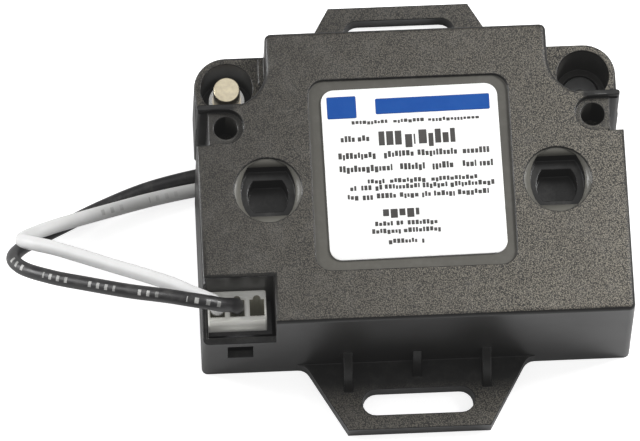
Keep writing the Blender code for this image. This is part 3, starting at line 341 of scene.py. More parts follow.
# thin pale dust that settles on what faces up, and small scuffs
settledDust = {
    "defaults": {"Amount": 0.3, "Scale": 160.0},
    "detail": 6.0,
    "roughness": 0.7,
    "spotRange": (0.48, 0.72),
    "upRange": (0.5, 0.95),
}


def makeDustGroup(setup):
    group, given, result = newGroup("settledDust", setup["defaults"], {"Dust": "NodeSocketFloat"})
    spots = noise(group, given["Scale"], setup["detail"], setup["roughness"])
    up = mapRange(group, splitVector(group, facingNormal(group))[2], *setup["upRange"])
    seen = times(group, mapRange(group, spots, *setup["spotRange"]), up, given["Amount"])
    group.links.new(seen, result["Dust"])
    return group


groups = {
    "grain": makeGrainGroup(sparkGrain),
    "edge": makeEdgeGroup(edgeWearAndShade),
    "dust": makeDustGroup(settledDust),
}
print("node groups made")


def useGroup(tree, name, values):
    made = addNode(tree, "ShaderNodeGroup", node_tree=groups[name])
    setInputs(made, values)
    return made.outputs


# moulded case: spark texture on the faces that look up, smoother walls, rims painted dark as painted shade
# with a little paler wear; painted light lifts the screw holes, the bay, the wells, the label tray and the
# recess rings, and the texture is painted lighter to the right and darker to the rear;
# a place is from the middle of the base, and the right half repeats the left one
casePlastic = {
    "dark": (0.0140, 0.0137, 0.0134),
    "textureDark": (0.0170, 0.0158, 0.0142),
    "textureLight": (0.314, 0.286, 0.230),
    "cloudColor": (0.100, 0.092, 0.082),
    "cloudShare": 0.16,
    "cloudScale": 45.0,
    "grainScale": 5000.0,
    "grainDepth": 0.00011,
    "grainStrength": 0.9,
    "wallGrain": 0.08,  # share of the grain's height on smooth walls
    "dustColor": (0.34, 0.33, 0.31),
    "dustAmount": 0.08,
    "dustScale": 240.0,
    "topRoughness": 0.50,
    "wallRoughness": 0.28,
    "roughnessCloud": 0.08,
    "specular": 0.32,
    "upRange": (0.80, 0.97),  # how level a textured face is
    "middle": (-0.040, 0.040),  # the ears and wells change from the left value to the right one
    "across": (-0.048, 0.048),
    "paintedLightAcross": (0.26, 1.00),  # painted light and shade: how strongly the texture's pale specks show at the left end and at the right, darker at the left as the light falls from the right
    "depth": (-0.030, 0.036),
    "paintedShadeRear": (1.0, 0.66),  # painted shade: and at the front and the rear, darker at the rear
}
caseRims = {
    "radius": 0.00046,
    "base": (0.010, 0.010, 0.0105),  # painted shade: rims are painted darker than the plastic, as dark outlines
    "paintedShadeShare": 0.9,
    "worn": (0.060, 0.060, 0.060),
    "wornShare": 0.12,
    "roughness": 0.17,
    "polish": 0.85,
    "textureFade": 0.85,
}
pitPaintedLight = {
    "color": (0.112, 0.108, 0.100),  # painted light: the case is painted lighter here, in the screw holes, and less in the bay and the wells, where shade falls
    "holes": (0.0430, 0.0130, 0.0030),  # place and radius
    "wells": (0.0424, 0.0274, 0.00635),
    "wellShare": (0.0, 0.62),  # in the left well and in the right one
    "bay": (-0.0416, -0.0293, 0.0082, 0.0054),  # middle and half sizes
    "bayShare": 0.26,
}
caseSmooth = {
    "recesses": (0.03395, -0.00315, 0.00797),  # place and radius
    "ledgeFrom": 0.03480,
    "ledgePaintedLight": (0.125, 0.121, 0.106),  # painted light: the smooth sloping ring of each round recess, painted lighter than the plastic
    "fins": (0.0412, 0.0178, 0.00079),  # from here outwards, middle and half width
    "trayPaintedLight": (0.100, 0.0955, 0.0825),  # painted light: the smooth tray under the label, painted lighter than the plastic
    "trayLevel": (0.03530, 0.0003),  # height, give or take
    "trayHalf": 0.02370,
    # painted shade: the tray is painted darker from the front to the rear
    "trayDepth": (-0.024, 0.024),
    "trayRear": 0.82,
    "trayCloud": 0.85,
}
caseTextured = {
    "from": (0.03380, 0.03390),  # the top and the pockets
    "pocketTo": 0.03500,
    "pocketShare": 0.55,
    "ears": (0.02200, 0.0009),  # height, give or take
    "earPaintedLight": (2.00, 1.22),  # painted light: texture share on the left ear and on the right one, set with the left-to-right painted light to how brightly each ear is lit
    "flangeBelow": 0.00640,
    "flangeShadeRange": (0.0415, 0.0455),  # painted shade: smooth and dark near the wall up to the first, from the middle of the case
    "flangeShare": 0.75,
}


# 1 inside an upright round column, so in a bore
def roundMask(tree, x, y, midX, midY, radius):
    place = addNode(tree, "ShaderNodeCombineXYZ")
    tree.links.new(mathNode(tree, "SUBTRACT", x, midX), place.inputs["X"])
    tree.links.new(mathNode(tree, "SUBTRACT", y, midY), place.inputs["Y"])
    away = addNode(tree, "ShaderNodeVectorMath", operation="LENGTH")
    tree.links.new(place.outputs[0], away.inputs[0])
    return mathNode(tree, "LESS_THAN", away.outputs["Value"], radius)


# where each kind of surface of the case is, and where light and shade are painted on it, from its place and
# the way it faces
def caseMasks(tree):
    x, y, z = splitVector(tree, objectPlace(tree))
    farX, farY = mathNode(tree, "ABSOLUTE", x), mathNode(tree, "ABSOLUTE", y)
    up = mapRange(tree, splitVector(tree, facingNormal(tree))[2], *casePlastic["upRange"])
    inTray = times(tree, mathNode(tree, "LESS_THAN", most(tree, farX, farY), caseSmooth["trayHalf"]),
                   mathNode(tree, "COMPARE", z, *caseSmooth["trayLevel"]))
    inRecess = roundMask(tree, farX, y, *caseSmooth["recesses"])
    finFrom, finMid, finHalf = caseSmooth["fins"]
    onFin = times(tree, mathNode(tree, "GREATER_THAN", farX, finFrom),
                  mathNode(tree, "COMPARE", y, finMid, finHalf))

    inPocket = mathNode(tree, "LESS_THAN", z, caseTextured["pocketTo"])
    onTop = times(tree, mapRange(tree, z, *caseTextured["from"]), inverse(tree, inTray),
                  inverse(tree, most(tree, inRecess, onFin)),
                  mathNode(tree, "MULTIPLY_ADD", inPocket, caseTextured["pocketShare"] - 1.0, 1.0))
    # painted light: the ears' texture share differs left and right with how they are lit
    onEar = times(tree, mathNode(tree, "COMPARE", z, *caseTextured["ears"]),
                  mathNode(tree, "GREATER_THAN", y, 0.0),
                  mapRange(tree, x, *casePlastic["middle"], *caseTextured["earPaintedLight"]))
    # painted shade: the flange's texture fades out towards the wall, where shade falls
    onFlange = times(tree, mathNode(tree, "LESS_THAN", z, caseTextured["flangeBelow"]),
                     mapRange(tree, farY, *caseTextured["flangeShadeRange"], 0.0, caseTextured["flangeShare"]))
    level = most(tree, onTop, onEar, onFlange)

    # painted light in the wells, the screw holes and the bay
    inWell = times(tree, roundMask(tree, farX, y, *pitPaintedLight["wells"]),
                   mapRange(tree, x, *casePlastic["middle"], *pitPaintedLight["wellShare"]))
    midX, midY, halfX, halfY = pitPaintedLight["bay"]
    inBay = times(tree, mathNode(tree, "COMPARE", x, midX, halfX), mathNode(tree, "COMPARE", y, midY, halfY),
                  pitPaintedLight["bayShare"])
    inHole = roundMask(tree, farX, y, *pitPaintedLight["holes"])
    return {
        "level": times(tree, level, up),
        "tray": times(tree, inTray, up),
        # painted shade: the tray darker towards the rear
        "trayPaintedShade": mapRange(tree, y, *caseSmooth["trayDepth"], 1.0, caseSmooth["trayRear"]),
        "ledge": times(tree, inRecess, mathNode(tree, "GREATER_THAN", z, caseSmooth["ledgeFrom"])),
        # painted light: the hollows are painted lighter than the plastic
        "hollow": times(tree, most(tree, inWell, inHole, inBay), inverse(tree, level)),
        # painted light and shade: the texture's specks are painted darker to the left and to the rear
        "paintedLightShare": times(tree, mapRange(tree, x, *casePlastic["across"], *casePlastic["paintedLightAcross"]),
                       mapRange(tree, y, *casePlastic["depth"], *casePlastic["paintedShadeRear"])),
    }


def paint(tree, base, *layers):
    for factor, color in layers:
        base = mixNode(tree, "RGBA", factor, base, color)
    return base


def makeCaseMaterial(setup):
    made, tree, shader = newMaterial("casePlastic", setup["wallRoughness"])
    shader.inputs["Specular IOR Level"].default_value = setup["specular"]
    masks = caseMasks(tree)
    edges = useGroup(tree, "edge", {"Radius": caseRims["radius"]})
    grain = useGroup(tree, "grain", {"Scale": setup["grainScale"], "Cloud Scale": setup["cloudScale"]})
    dust = useGroup(tree, "dust", {"Amount": setup["dustAmount"], "Scale": setup["dustScale"]})
    edge = edges["Edge"]
    offEdge = mathNode(tree, "MULTIPLY_ADD", edge, -caseRims["textureFade"], 1.0)
    textured = times(tree, masks["level"], offEdge)
    paintedLightShare = times(tree, textured, masks["paintedLightShare"])
    tray = times(tree, masks["tray"], masks["trayPaintedShade"],
                 mapRange(tree, grain["Cloud"], 0.0, 1.0, caseSmooth["trayCloud"], 1.0))
    # painted light lifts the hollows, the tray and the recess rings; painted shade darkens the rims; the
    # specks carry the painted light across the case
    color = paint(
        tree, setup["dark"],
        (masks["hollow"], pitPaintedLight["color"]),
        (textured, setup["textureDark"]),
        (times(tree, grain["Speck"], paintedLightShare), setup["textureLight"]),
        (times(tree, grain["Cloud"], paintedLightShare, setup["cloudShare"]), setup["cloudColor"]),
        (tray, caseSmooth["trayPaintedLight"]),
        (masks["ledge"], caseSmooth["ledgePaintedLight"]),
        (times(tree, edge, caseRims["paintedShadeShare"]), caseRims["base"]),
        (times(tree, edge, caseRims["wornShare"]), caseRims["worn"]),
        (dust["Dust"], setup["dustColor"]),
    )
    tree.links.new(color, shader.inputs["Base Color"])
    wall = mathNode(tree, "MULTIPLY_ADD", grain["Cloud"], setup["roughnessCloud"], setup["wallRoughness"])
    rough = mathNode(tree, "MULTIPLY_ADD", most(tree, textured, masks["tray"]),
                     setup["topRoughness"] - setup["wallRoughness"], wall)
    polished = mixNode(tree, "FLOAT", times(tree, edge, caseRims["polish"]), rough, caseRims["roughness"])
    tree.links.new(polished, shader.inputs["Roughness"])
    share = mathNode(tree, "MULTIPLY_ADD", textured, 1.0 - setup["wallGrain"], setup["wallGrain"])
    addBump(tree, shader, times(tree, grain["Height"], share), setup["grainStrength"], setup["grainDepth"],
            edges["Rounded"])
    return made


# a plain moulded or cast finish with fine grain, for most of the smaller pieces
plainFinish = {
    "cloudLift": (1.22, 0.01),  # the second colour, where none is given: times this, plus this
    "edgeLift": (1.5, 0.03),
    "edgeShare": 0.4,
    "dustColor": (0.42, 0.40, 0.37),
    "dustScale": 500.0,
    "roughnessSpread": 0.10,
    "grainStrength": 0.6,
}


def lifted(color, lift):
    return tuple(min(1.0, part * lift[0] + lift[1]) for part in color)


def makePlainMaterial(name, color, roughness, metallic=0.0, second=None, grainScale=1200.0,
                      grainDepth=0.00002, dustAmount=0.06, edgeColor=None, specular=0.5, cloudScale=140.0,
                      edgeRadius=0.0003, glow=0.0):
    setup = plainFinish
    made, tree, shader = newMaterial(name, roughness, metallic)
    setInputs(shader, {"Specular IOR Level": specular, "Emission Color": (*color, 1),
                       "Emission Strength": glow})  # the glow is painted light, standing in for light that thin nylon lets through
    grain = useGroup(tree, "grain", {"Scale": grainScale, "Cloud Scale": cloudScale})
    edges = useGroup(tree, "edge", {"Radius": edgeRadius})
    dust = useGroup(tree, "dust", {"Amount": dustAmount, "Scale": setup["dustScale"]})
    painted = paint(
        tree, color,
        (grain["Cloud"], second or lifted(color, setup["cloudLift"])),
        (times(tree, edges["Edge"], setup["edgeShare"]), edgeColor or lifted(color, setup["edgeLift"])),
        (dust["Dust"], setup["dustColor"]),
    )
    tree.links.new(painted, shader.inputs["Base Color"])
    spread = setup["roughnessSpread"]
    rough = mathNode(tree, "MULTIPLY_ADD", grain["Speck"], spread, roughness - spread / 2)
    tree.links.new(rough, shader.inputs["Roughness"])
    addBump(tree, shader, grain["Height"], setup["grainStrength"], grainDepth, edges["Rounded"])
    return made


# insulation of the leads: faint dust, soft rub marks and a row of plain printed ticks
leadPrint = {
    "tickPitch": 0.0023,
    "tickShare": 0.36,
    "groupPitch": 0.0131,
    "groupShare": 0.60,
    "reach": (0.90, 0.915),  # how near to the printed side a tick is
    "wornRange": (0.15, 0.75),
    "wornShare": (0.35, 1.0),
}
leadSkin = {
    "roughness": 0.42,
    "grainScale": 2600.0,
    "cloudScale": 170.0,
    "grainStrength": 0.5,
    "grainDepth": 0.000012,
    "rubShare": 0.55,
    "dirtShare": 0.85,
    "dirtTo": 0.055,  # handled from the case up to here
    "dirtCloud": 0.55,
    "dustColor": (0.45, 0.43, 0.40),
    "dustAmount": 0.10,
    "dustScale": 420.0,
    "roughnessSpread": 0.12,
    "roughnessDrop": 0.05,
}


# 1 on the printed ticks, which come in groups between the two ends
def tickMask(tree, along, cloud, ends, amount):
    side = addNode(tree, "ShaderNodeAttribute", attribute_name="side").outputs["Fac"]
    rows = []
    for pitch, share in (("tickPitch", "tickShare"), ("groupPitch", "groupShare")):
        step = mathNode(tree, "FRACT", mathNode(tree, "DIVIDE", along, leadPrint[pitch]))
        rows.append(mathNode(tree, "LESS_THAN", step, leadPrint[share]))
    return times(tree, *rows, mapRange(tree, side, *leadPrint["reach"]),
                 mathNode(tree, "GREATER_THAN", along, ends[0]), mathNode(tree, "LESS_THAN", along, ends[1]),
                 mapRange(tree, cloud, *leadPrint["wornRange"], *leadPrint["wornShare"]), amount)


def makeLeadMaterial(name, color, tickColor, tickAmount, tickEnds, rubColor, dirtColor=None):
    made, tree, shader = newMaterial(name, leadSkin["roughness"])
    along = addNode(tree, "ShaderNodeAttribute", attribute_name="along").outputs["Fac"]
    grain = useGroup(tree, "grain", {"Scale": leadSkin["grainScale"], "Cloud Scale": leadSkin["cloudScale"]})
    dust = useGroup(tree, "dust", {"Amount": leadSkin["dustAmount"], "Scale": leadSkin["dustScale"]})
    cloud = grain["Cloud"]
    layers = [(times(tree, cloud, leadSkin["rubShare"]), rubColor)]
    if dirtColor:
        near = mapRange(tree, along, 0.0, leadSkin["dirtTo"], leadSkin["dirtShare"], 0.0)
        patch = mapRange(tree, cloud, 0.0, 1.0, leadSkin["dirtCloud"], 1.0)
        layers.append((times(tree, near, patch), dirtColor))
    layers.append((tickMask(tree, along, cloud, tickEnds, tickAmount), tickColor))
    layers.append((dust["Dust"], leadSkin["dustColor"]))
    tree.links.new(paint(tree, color, *layers), shader.inputs["Base Color"])
    rough = mathNode(tree, "MULTIPLY_ADD", cloud, leadSkin["roughnessSpread"],
                     leadSkin["roughness"] - leadSkin["roughnessDrop"])
    tree.links.new(rough, shader.inputs["Roughness"])
    addBump(tree, shader, grain["Height"], leadSkin["grainStrength"], leadSkin["grainDepth"])
    return made


plainFinishes = {
    "postNickel": {"color": (0.82, 0.73, 0.53), "roughness": 0.38, "metallic": 1.0,
                   "second": (0.70, 0.62, 0.46), "edgeColor": (0.98, 0.94, 0.80),
                   "grainScale": 1500.0, "grainDepth": 0.00005, "cloudScale": 900.0},
    "labelFilm": {"color": (0.90, 0.90, 0.89), "roughness": 0.40, "second": (0.87, 0.87, 0.86),
                  "grainScale": 900.0, "grainDepth": 0.000006, "dustAmount": 0.04},
    "printDark": {"color": (0.050, 0.047, 0.045), "roughness": 0.55, "grainScale": 900.0,
                  "grainDepth": 0.000004, "dustAmount": 0.02, "specular": 0.2},
    "printBlue": {"color": (0.004, 0.062, 0.29), "roughness": 0.55, "second": (0.006, 0.072, 0.31),
                  "grainScale": 900.0, "grainDepth": 0.000004, "dustAmount": 0.01, "specular": 0.15},
    # painted light: the plug's nylon glows a little
    "nylon": {"color": (0.92, 0.915, 0.865), "roughness": 0.40, "second": (0.88, 0.87, 0.80),
              "edgeColor": (0.95, 0.93, 0.84), "glow": 0.11},
    # painted shade: the inside of the plug's ways, painted darker, with painted light on its yellowish edges
    # and a faint glow
    "nylonPaintedShade": {"color": (0.34, 0.33, 0.27), "roughness": 0.50, "second": (0.27, 0.26, 0.19),
                    "edgeColor": (0.60, 0.55, 0.32), "glow": 0.05},
    # painted light: the bushing glows, to lift it out of the well's shade
    "bushingNylon": {"color": (0.93, 0.925, 0.90), "roughness": 0.40, "second": (0.91, 0.90, 0.86),
                     "glow": 0.26},
    "bobbinNylon": {"color": (0.78, 0.77, 0.70), "roughness": 0.45, "second": (0.74, 0.72, 0.63)},
    "wellBlank": {"color": (0.22, 0.22, 0.222), "roughness": 0.36},
    "potting": {"color": (0.028, 0.027, 0.026), "roughness": 0.28, "grainScale": 300.0,
                "grainDepth": 0.00008, "dustAmount": 0.10},
    "boardLaminate": {"color": (0.010, 0.028, 0.015), "roughness": 0.38},
    "ferrite": {"color": (0.06, 0.06, 0.065), "roughness": 0.55},
    "epoxy": {"color": (0.03, 0.03, 0.033), "roughness": 0.45},
    "filmBlue": {"color": (0.05, 0.12, 0.34), "roughness": 0.35},
    "sleeveDark": {"color": (0.03, 0.05, 0.10), "roughness": 0.30},
    "resistorBody": {"color": (0.55, 0.45, 0.28), "roughness": 0.45},
    "tin": {"color": (0.70, 0.70, 0.68), "roughness": 0.32, "metallic": 1.0, "grainScale": 2500.0,
            "grainDepth": 0.000006},
    "aluminium": {"color": (0.66, 0.67, 0.68), "roughness": 0.36, "metallic": 1.0, "grainScale": 2500.0,
                  "grainDepth": 0.000006},
    "copper": {"color": (0.60, 0.26, 0.11), "roughness": 0.34, "metallic": 1.0, "grainScale": 3000.0},
    "glass": {"color": (0.78, 0.82, 0.82), "roughness": 0.10, "dustAmount": 0.02},
}
leadFinishes = {
    "leadBlack": {"color": (0.0125, 0.0120, 0.0130), "rubColor": (0.026, 0.025, 0.025),
                  "tickColor": (0.62, 0.62, 0.60), "tickAmount": 0.68, "tickEnds": (0.064, 0.127)},
    "leadWhite": {"color": (0.685, 0.685, 0.685), "rubColor": (0.62, 0.62, 0.61),
                  "dirtColor": (0.56, 0.555, 0.53),
                  "tickColor": (0.24, 0.24, 0.23), "tickAmount": 0.55, "tickEnds": (0.006, 0.034)},
}

finishes = {"casePlastic": makeCaseMaterial(casePlastic)}
for name, values in plainFinishes.items():
    finishes[name] = makePlainMaterial(name, **values)
for name, values in leadFinishes.items():
    finishes[name] = makeLeadMaterial(name, **values)


# spread the nodes out for the editor
def layOut(tree, columns=8, across=220, down=320):
    for index, node in enumerate(tree.nodes):
        node.location = (index % columns * across, index // columns * -down)


for tree in [*groups.values(), *(finish.node_tree for finish in finishes.values())]:
    layOut(tree)
print("finishes made:", len(finishes))


# pieces
def finishMesh(name, bm, finish, replaced=(), smooth=35):
    mesh = bpy.data.meshes.new(name)
    bm.to_mesh(mesh)
    bm.free()
    mesh.shade_smooth()
    mesh.set_sharp_from_angle(angle=math.radians(smooth))
    made = bpy.data.objects.new(name, mesh)
    scene.collection.objects.link(made)
    for one in finish if isinstance(finish, list) else [finish]:
        made.data.materials.append(finishes[one])
    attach(made, "root")
    if replaced:
        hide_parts(*replaced)
    return made


# a CAD node's mesh is loose triangles, so a copy of it is joined up before it is worked on
nodeCopy = {"mergeWithin": 0.000002, "flatWithin": 0.6}  # metres, and degrees


def mergedCopy(node, reshape=None):
    bm = bmesh.new()
    bm.from_mesh(nodes[node].data)
    bmesh.ops.remove_doubles(bm, verts=bm.verts, dist=nodeCopy["mergeWithin"])
    if reshape:
        reshape(bm)
    bmesh.ops.dissolve_degenerate(bm, edges=bm.edges, dist=nodeCopy["mergeWithin"])
    bmesh.ops.dissolve_limit(bm, angle_limit=math.radians(nodeCopy["flatWithin"]), verts=bm.verts,
                             edges=bm.edges, use_dissolve_boundaries=False)
    return bm


# the case, with the ring of each round recess sloping down to its double-D opening;
# its rims are rounded by the edgeWearAndShade group, because they meet too closely for a bevel
caseShell = {
    "recess": (0.03395, -0.00315, 0.00790),  # middle, left and right, and the reach from it
    "ledge": 0.03555,
    "ledgeWithin": 0.00003,
    "ledgeDrop": 0.00060,
    "smooth": 28,
    "levelFrom": 0.995,  # level faces and large walls are flat, and only the rounds are smooth
    "largeFrom": 0.00006,  # area in square metres
}


def makeCaseShell(setup):
    midX, midY, reach = setup["recess"]

    def away(place):
        return math.hypot(abs(place.x) - midX, place.y - midY)

    def onLedge(element):
        return all(abs(v.co.z - setup["ledge"]) < setup["ledgeWithin"] for v in element.verts)

    def slopeLedges(bm):
        for side in (-1, 1):
            flat = [f for f in bm.faces if onLedge(f) and f.calc_center_median().x * side > 0
                    and away(f.calc_center_median()) < reach]
            bmesh.ops.delete(bm, geom=flat, context="FACES_ONLY")
            bare = [e for e in bm.edges if not e.link_faces]
            bmesh.ops.delete(bm, geom=bare, context="EDGES")
            rims = [e for e in bm.edges if len(e.link_faces) == 1 and onLedge(e)]
            inner = {v for e in rims for v in e.verts if away(v.co) < reach}
            bmesh.ops.translate(bm, verts=list(inner), vec=(0, 0, -setup["ledgeDrop"]))
            ring = bmesh.ops.bridge_loops(bm, edges=rims, use_pairs=False, use_cyclic=False, use_merge=False,
                                          merge_factor=0.5, twist_offset=0)["faces"]
            print("ledge faces:", len(flat), "edges:", len(rims), "lowered:", len(inner), "ring:", len(ring))
        bmesh.ops.recalc_face_normals(bm, faces=bm.faces)

    bm = mergedCopy("case", slopeLedges)
    made = finishMesh("caseShell", bm, "casePlastic", ["case"], smooth=setup["smooth"])
    for face in made.data.polygons:
        face.use_smooth = abs(face.normal.z) < setup["levelFrom"] and face.area < setup["largeFrom"]


makeCaseShell(caseShell)
print("case shell made")


# label with its printed fields: plain bars and blocks, no words
labelSheet = {
    "halfX": 0.02076,
    "halfY": 0.02106,
    "centre": (0.00035, 0.00013),
    "turn": 0.68,  # degrees: it was stuck on a little askew
    "corner": 0.0030,
    "cornerSteps": 10,
    "rimRound": 0.00006,
    "bottom": 0.03531,
    "top": 0.03585,
}
labelInk = {
    "sink": 0.00002,
    "height": 0.000016,
    "fieldCorner": 0.0003,
    "block": 0.00072,  # width of one printed block
    "blockCorner": 0.00008,
    "gap": 0.00022,
    "widths": (0.7, 0.85, 1.0, 1.0, 1.15),
    "least": 0.0003,  # what is left at the end of a word when it stops
    "uneven": ((0, 0), (0, 0), (0.28, 0), (0.28, 0), (0.28, -0.22), (0, 0.1)),  # cut from top and bottom
    "bold": 2.3,  # width of a bold block
    "boldGap": 1.78,
    "seed": 7,
}
printedBlue = [  # left, right, bottom, top in mm
    (-19.1, -12.2, 14.0, 19.5), (-7.7, 19.2, 14.7, 18.6),
]
printedRows = [  # bottom, top, then the left and right end of each word, in mm
    (12.45, 13.30, [(-13.5, -4.6), (-3.7, 3.6), (4.5, 16.9)]),
    (8.15, 9.65, [(-16.3, -13.0), (-12.3, -9.2)]),
    (3.95, 5.45, [(-17.1, -8.2), (-6.4, 0.7), (1.5, 11.0), (12.1, 18.7)]),
    (0.65, 2.25, [(-17.0, -4.6), (-2.8, 3.3), (4.8, 10.2), (11.9, 15.1), (15.9, 19.4)]),
    (-2.45, -1.35, [(-10.6, -6.4), (-5.4, 3.4), (4.3, 15.1)]),
    (-4.00, -2.80, [(-14.8, -12.9), (-12.2, -9.6), (-8.9, -7.3), (-6.7, 1.5), (2.2, 8.0), (8.7, 19.5)]),
    (-6.15, -4.90, [(-15.5, -12.6), (-12.0, -9.4), (-8.7, -4.0), (-3.3, 1.2), (1.9, 4.0), (4.7, 9.6),
                    (10.3, 17.6)]),
    (-12.95, -11.85, [(-9.5, -5.2), (-4.5, -2.6), (-1.9, 5.2)]),
    (-14.80, -13.65, [(-10.3, -3.6), (-2.9, 6.1)]),
    (-17.35, -16.25, [(-6.6, 0.2), (1.2, 2.1)]),
]
boldRows = [(6.90, 10.40, [(-7.4, -2.0), (-1.2, 1.2), (2.0, 10.6)]), (-10.60, -8.25, [(-7.5, 1.0)])]


def uprightEdges(edges, height):
    return [e for e in edges if abs(e.verts[0].co.z - e.verts[1].co.z) > height / 2]


def flatBlock(bm, left, right, low, high, bottom, top, corner):
    size = Matrix.Diagonal((right - left, high - low, top - bottom, 1))
    place = Matrix.Translation(((left + right) / 2, (low + high) / 2, (bottom + top) / 2))
    made = bmesh.ops.create_cube(bm, size=1.0, matrix=place @ size)["verts"]
    edges = {e for v in made for e in v.link_edges}
    bmesh.ops.bevel(bm, geom=uprightEdges(edges, top - bottom), offset=corner, offset_type="OFFSET",
                    segments=2, profile=0.5, affect="EDGES", material=-1)


def turned(bm):
    turn = Matrix.Rotation(math.radians(labelSheet["turn"]), 3, "Z")
    bmesh.ops.rotate(bm, verts=bm.verts, cent=(0, 0, 0), matrix=turn)
    return bm


def makeLabel(setup):
    bm = bmesh.new()
    (x, y), low, high = setup["centre"], setup["bottom"], setup["top"]
    size = Matrix.Diagonal((2 * setup["halfX"], 2 * setup["halfY"], high - low, 1))
    bmesh.ops.create_cube(bm, size=1.0, matrix=Matrix.Translation((x, y, (low + high) / 2)) @ size)
    bmesh.ops.bevel(bm, geom=uprightEdges(bm.edges, high - low), offset=setup["corner"],
                    offset_type="OFFSET", segments=setup["cornerSteps"], profile=0.5, affect="EDGES",
                    material=-1)
    rim = [e for e in bm.edges if min(v.co.z for v in e.verts) > (low + high) / 2]
    bmesh.ops.bevel(bm, geom=rim, offset=setup["rimRound"], offset_type="OFFSET", segments=2, profile=0.5,
                    affect="EDGES", material=-1)
    finishMesh("labelSheet", turned(bm), "labelFilm", ["label"])


def printWord(bm, start, stop, bottom, top, low, high, wide, gap):
    while start < stop - labelInk["least"]:
        width = labelInk["block"] * wide * random.choice(labelInk["widths"])
        rise, drop = random.choice(labelInk["uneven"])
        tall = top - bottom
        flatBlock(bm, start, min(start + width, stop), bottom + tall * drop, top - tall * rise, low, high,
                  labelInk["blockCorner"])
        start += width + gap


def printLabel(setup):
    low, high = labelSheet["top"] - setup["sink"], labelSheet["top"] + setup["height"]
    bm = bmesh.new()
    for field in printedBlue:
        flatBlock(bm, *(edge / 1000 for edge in field), low, high, setup["fieldCorner"])
    finishMesh("labelBlueFields", turned(bm), "printBlue")
    bm = bmesh.new()
    random.seed(setup["seed"])
    for rows, wide, gap in ((printedRows, 1.0, 1.0), (boldRows, setup["bold"], setup["boldGap"])):
        for bottom, top, words in rows:
            for start, stop in words:
                printWord(bm, start / 1000, stop / 1000, bottom / 1000, top / 1000, low, high, wide,
                          setup["gap"] * gap)
    finishMesh("labelDarkFields", turned(bm), "printDark")


makeLabel(labelSheet)
printLabel(labelInk)
print("label made")


# turned pieces round an upright axis, from a profile of radius and height
def spinProfile(profile, centre, steps=56, closed=False):
    bm = bmesh.new()
    points = [bm.verts.new((centre[0] + r, centre[1], z)) for r, z in profile]
    ends = points[1:] + [points[0]] if closed else points[1:]
    edges = [bm.edges.new(pair) for pair in zip(points, ends)]
    bmesh.ops.spin(bm, geom=points + edges, cent=(centre[0], centre[1], 0), axis=(0, 0, 1),
                   angle=math.tau, steps=steps, use_merge=True, use_duplicate=False)
    bmesh.ops.remove_doubles(bm, verts=bm.verts, dist=nodeCopy["mergeWithin"])
    bmesh.ops.recalc_face_normals(bm, faces=bm.faces)
    return bm


sparkPost = {
    "centre": (-0.0424, 0.0274),
    "radius": 0.00315,
    "foot": 0.0072,
    "footBevel": 0.0002,
    "top": 0.0213,
    "rimRound": 0.00028,
    "rimTurns": (22, 45, 68, 90),  # degrees
    "dish": 0.00010,
    "dishSlope": 0.00025,  # from the rim inwards
    "dishShoulder": 0.4,  # of the dish's depth, at the inner end of the slope
    "dishFloor": 0.55,  # of the radius
}
postBushing = {"inner": 0.00345, "outer": 0.00423, "bottom": 0.0072, "top": 0.0135, "lip": 0.00012}
spareBlank = {
    "centre": (0.0424, 0.0274),
    "radius": 0.00423,
    "bottom": 0.0072,
    "top": 0.0090,
    "rimRound": 0.00025,
    "rimBulge": 0.3,  # of the round, where its middle lies
    "dimple": 0.0011,
    "dimpleTaper": 0.0002,
    "dimpleDepth": 0.0004,
}


def makeSparkPost(setup):
    r, foot, bevel, top, rim = (setup[k] for k in ("radius", "foot", "footBevel", "top", "rimRound"))
    floor = top - setup["dish"]
    profile = [(0, foot), (r - bevel, foot), (r, foot + bevel), (r, top - rim)]
    profile += [(r - rim + rim * math.cos(a), top - rim + rim * math.sin(a))
                for a in map(math.radians, setup["rimTurns"])]
    profile += [(r - rim - setup["dishSlope"], top - setup["dish"] * setup["dishShoulder"]),
                (r * setup["dishFloor"], floor), (0, floor)]
    finishMesh("sparkPost", spinProfile(profile, setup["centre"]), "postNickel", ["hv_post"],
               smooth=50)


def makeBushing(setup):
    inner, outer, low, high, lip = (setup[k] for k in ("inner", "outer", "bottom", "top", "lip"))
    profile = [(inner, low), (outer, low), (outer, high - lip), (outer - lip, high), (inner + lip, high),
               (inner, high - lip)]
    finishMesh("postBushing", spinProfile(profile, sparkPost["centre"], closed=True), "bushingNylon",
               ["post_sleeve"])


def makeSpareBlank(setup):
    r, low, top, rim = (setup[k] for k in ("radius", "bottom", "top", "rimRound"))
    dimple, floor = setup["dimple"], top - setup["dimpleDepth"]
    bulge = rim * setup["rimBulge"]
    profile = [(0, low), (r, low), (r, top - rim), (r - bulge, top - bulge), (r - rim, top),
               (dimple, top), (dimple - setup["dimpleTaper"], floor), (0, floor)]
    finishMesh("spareBlank", spinProfile(profile, setup["centre"]), "wellBlank",
               ["well_blank"], smooth=30)


makeSparkPost(sparkPost)
makeBushing(postBushing)
makeSpareBlank(spareBlank)


# only the outside of the plug is rounded: the webs between its ways are thin
plugShell = {
    "edgeRound": 0.00014,
    "sharpFrom": 0.5,  # radians
    "skin": 0.0003,
    "topSkin": 0.00005,
    "mouth": 0.0003,
}


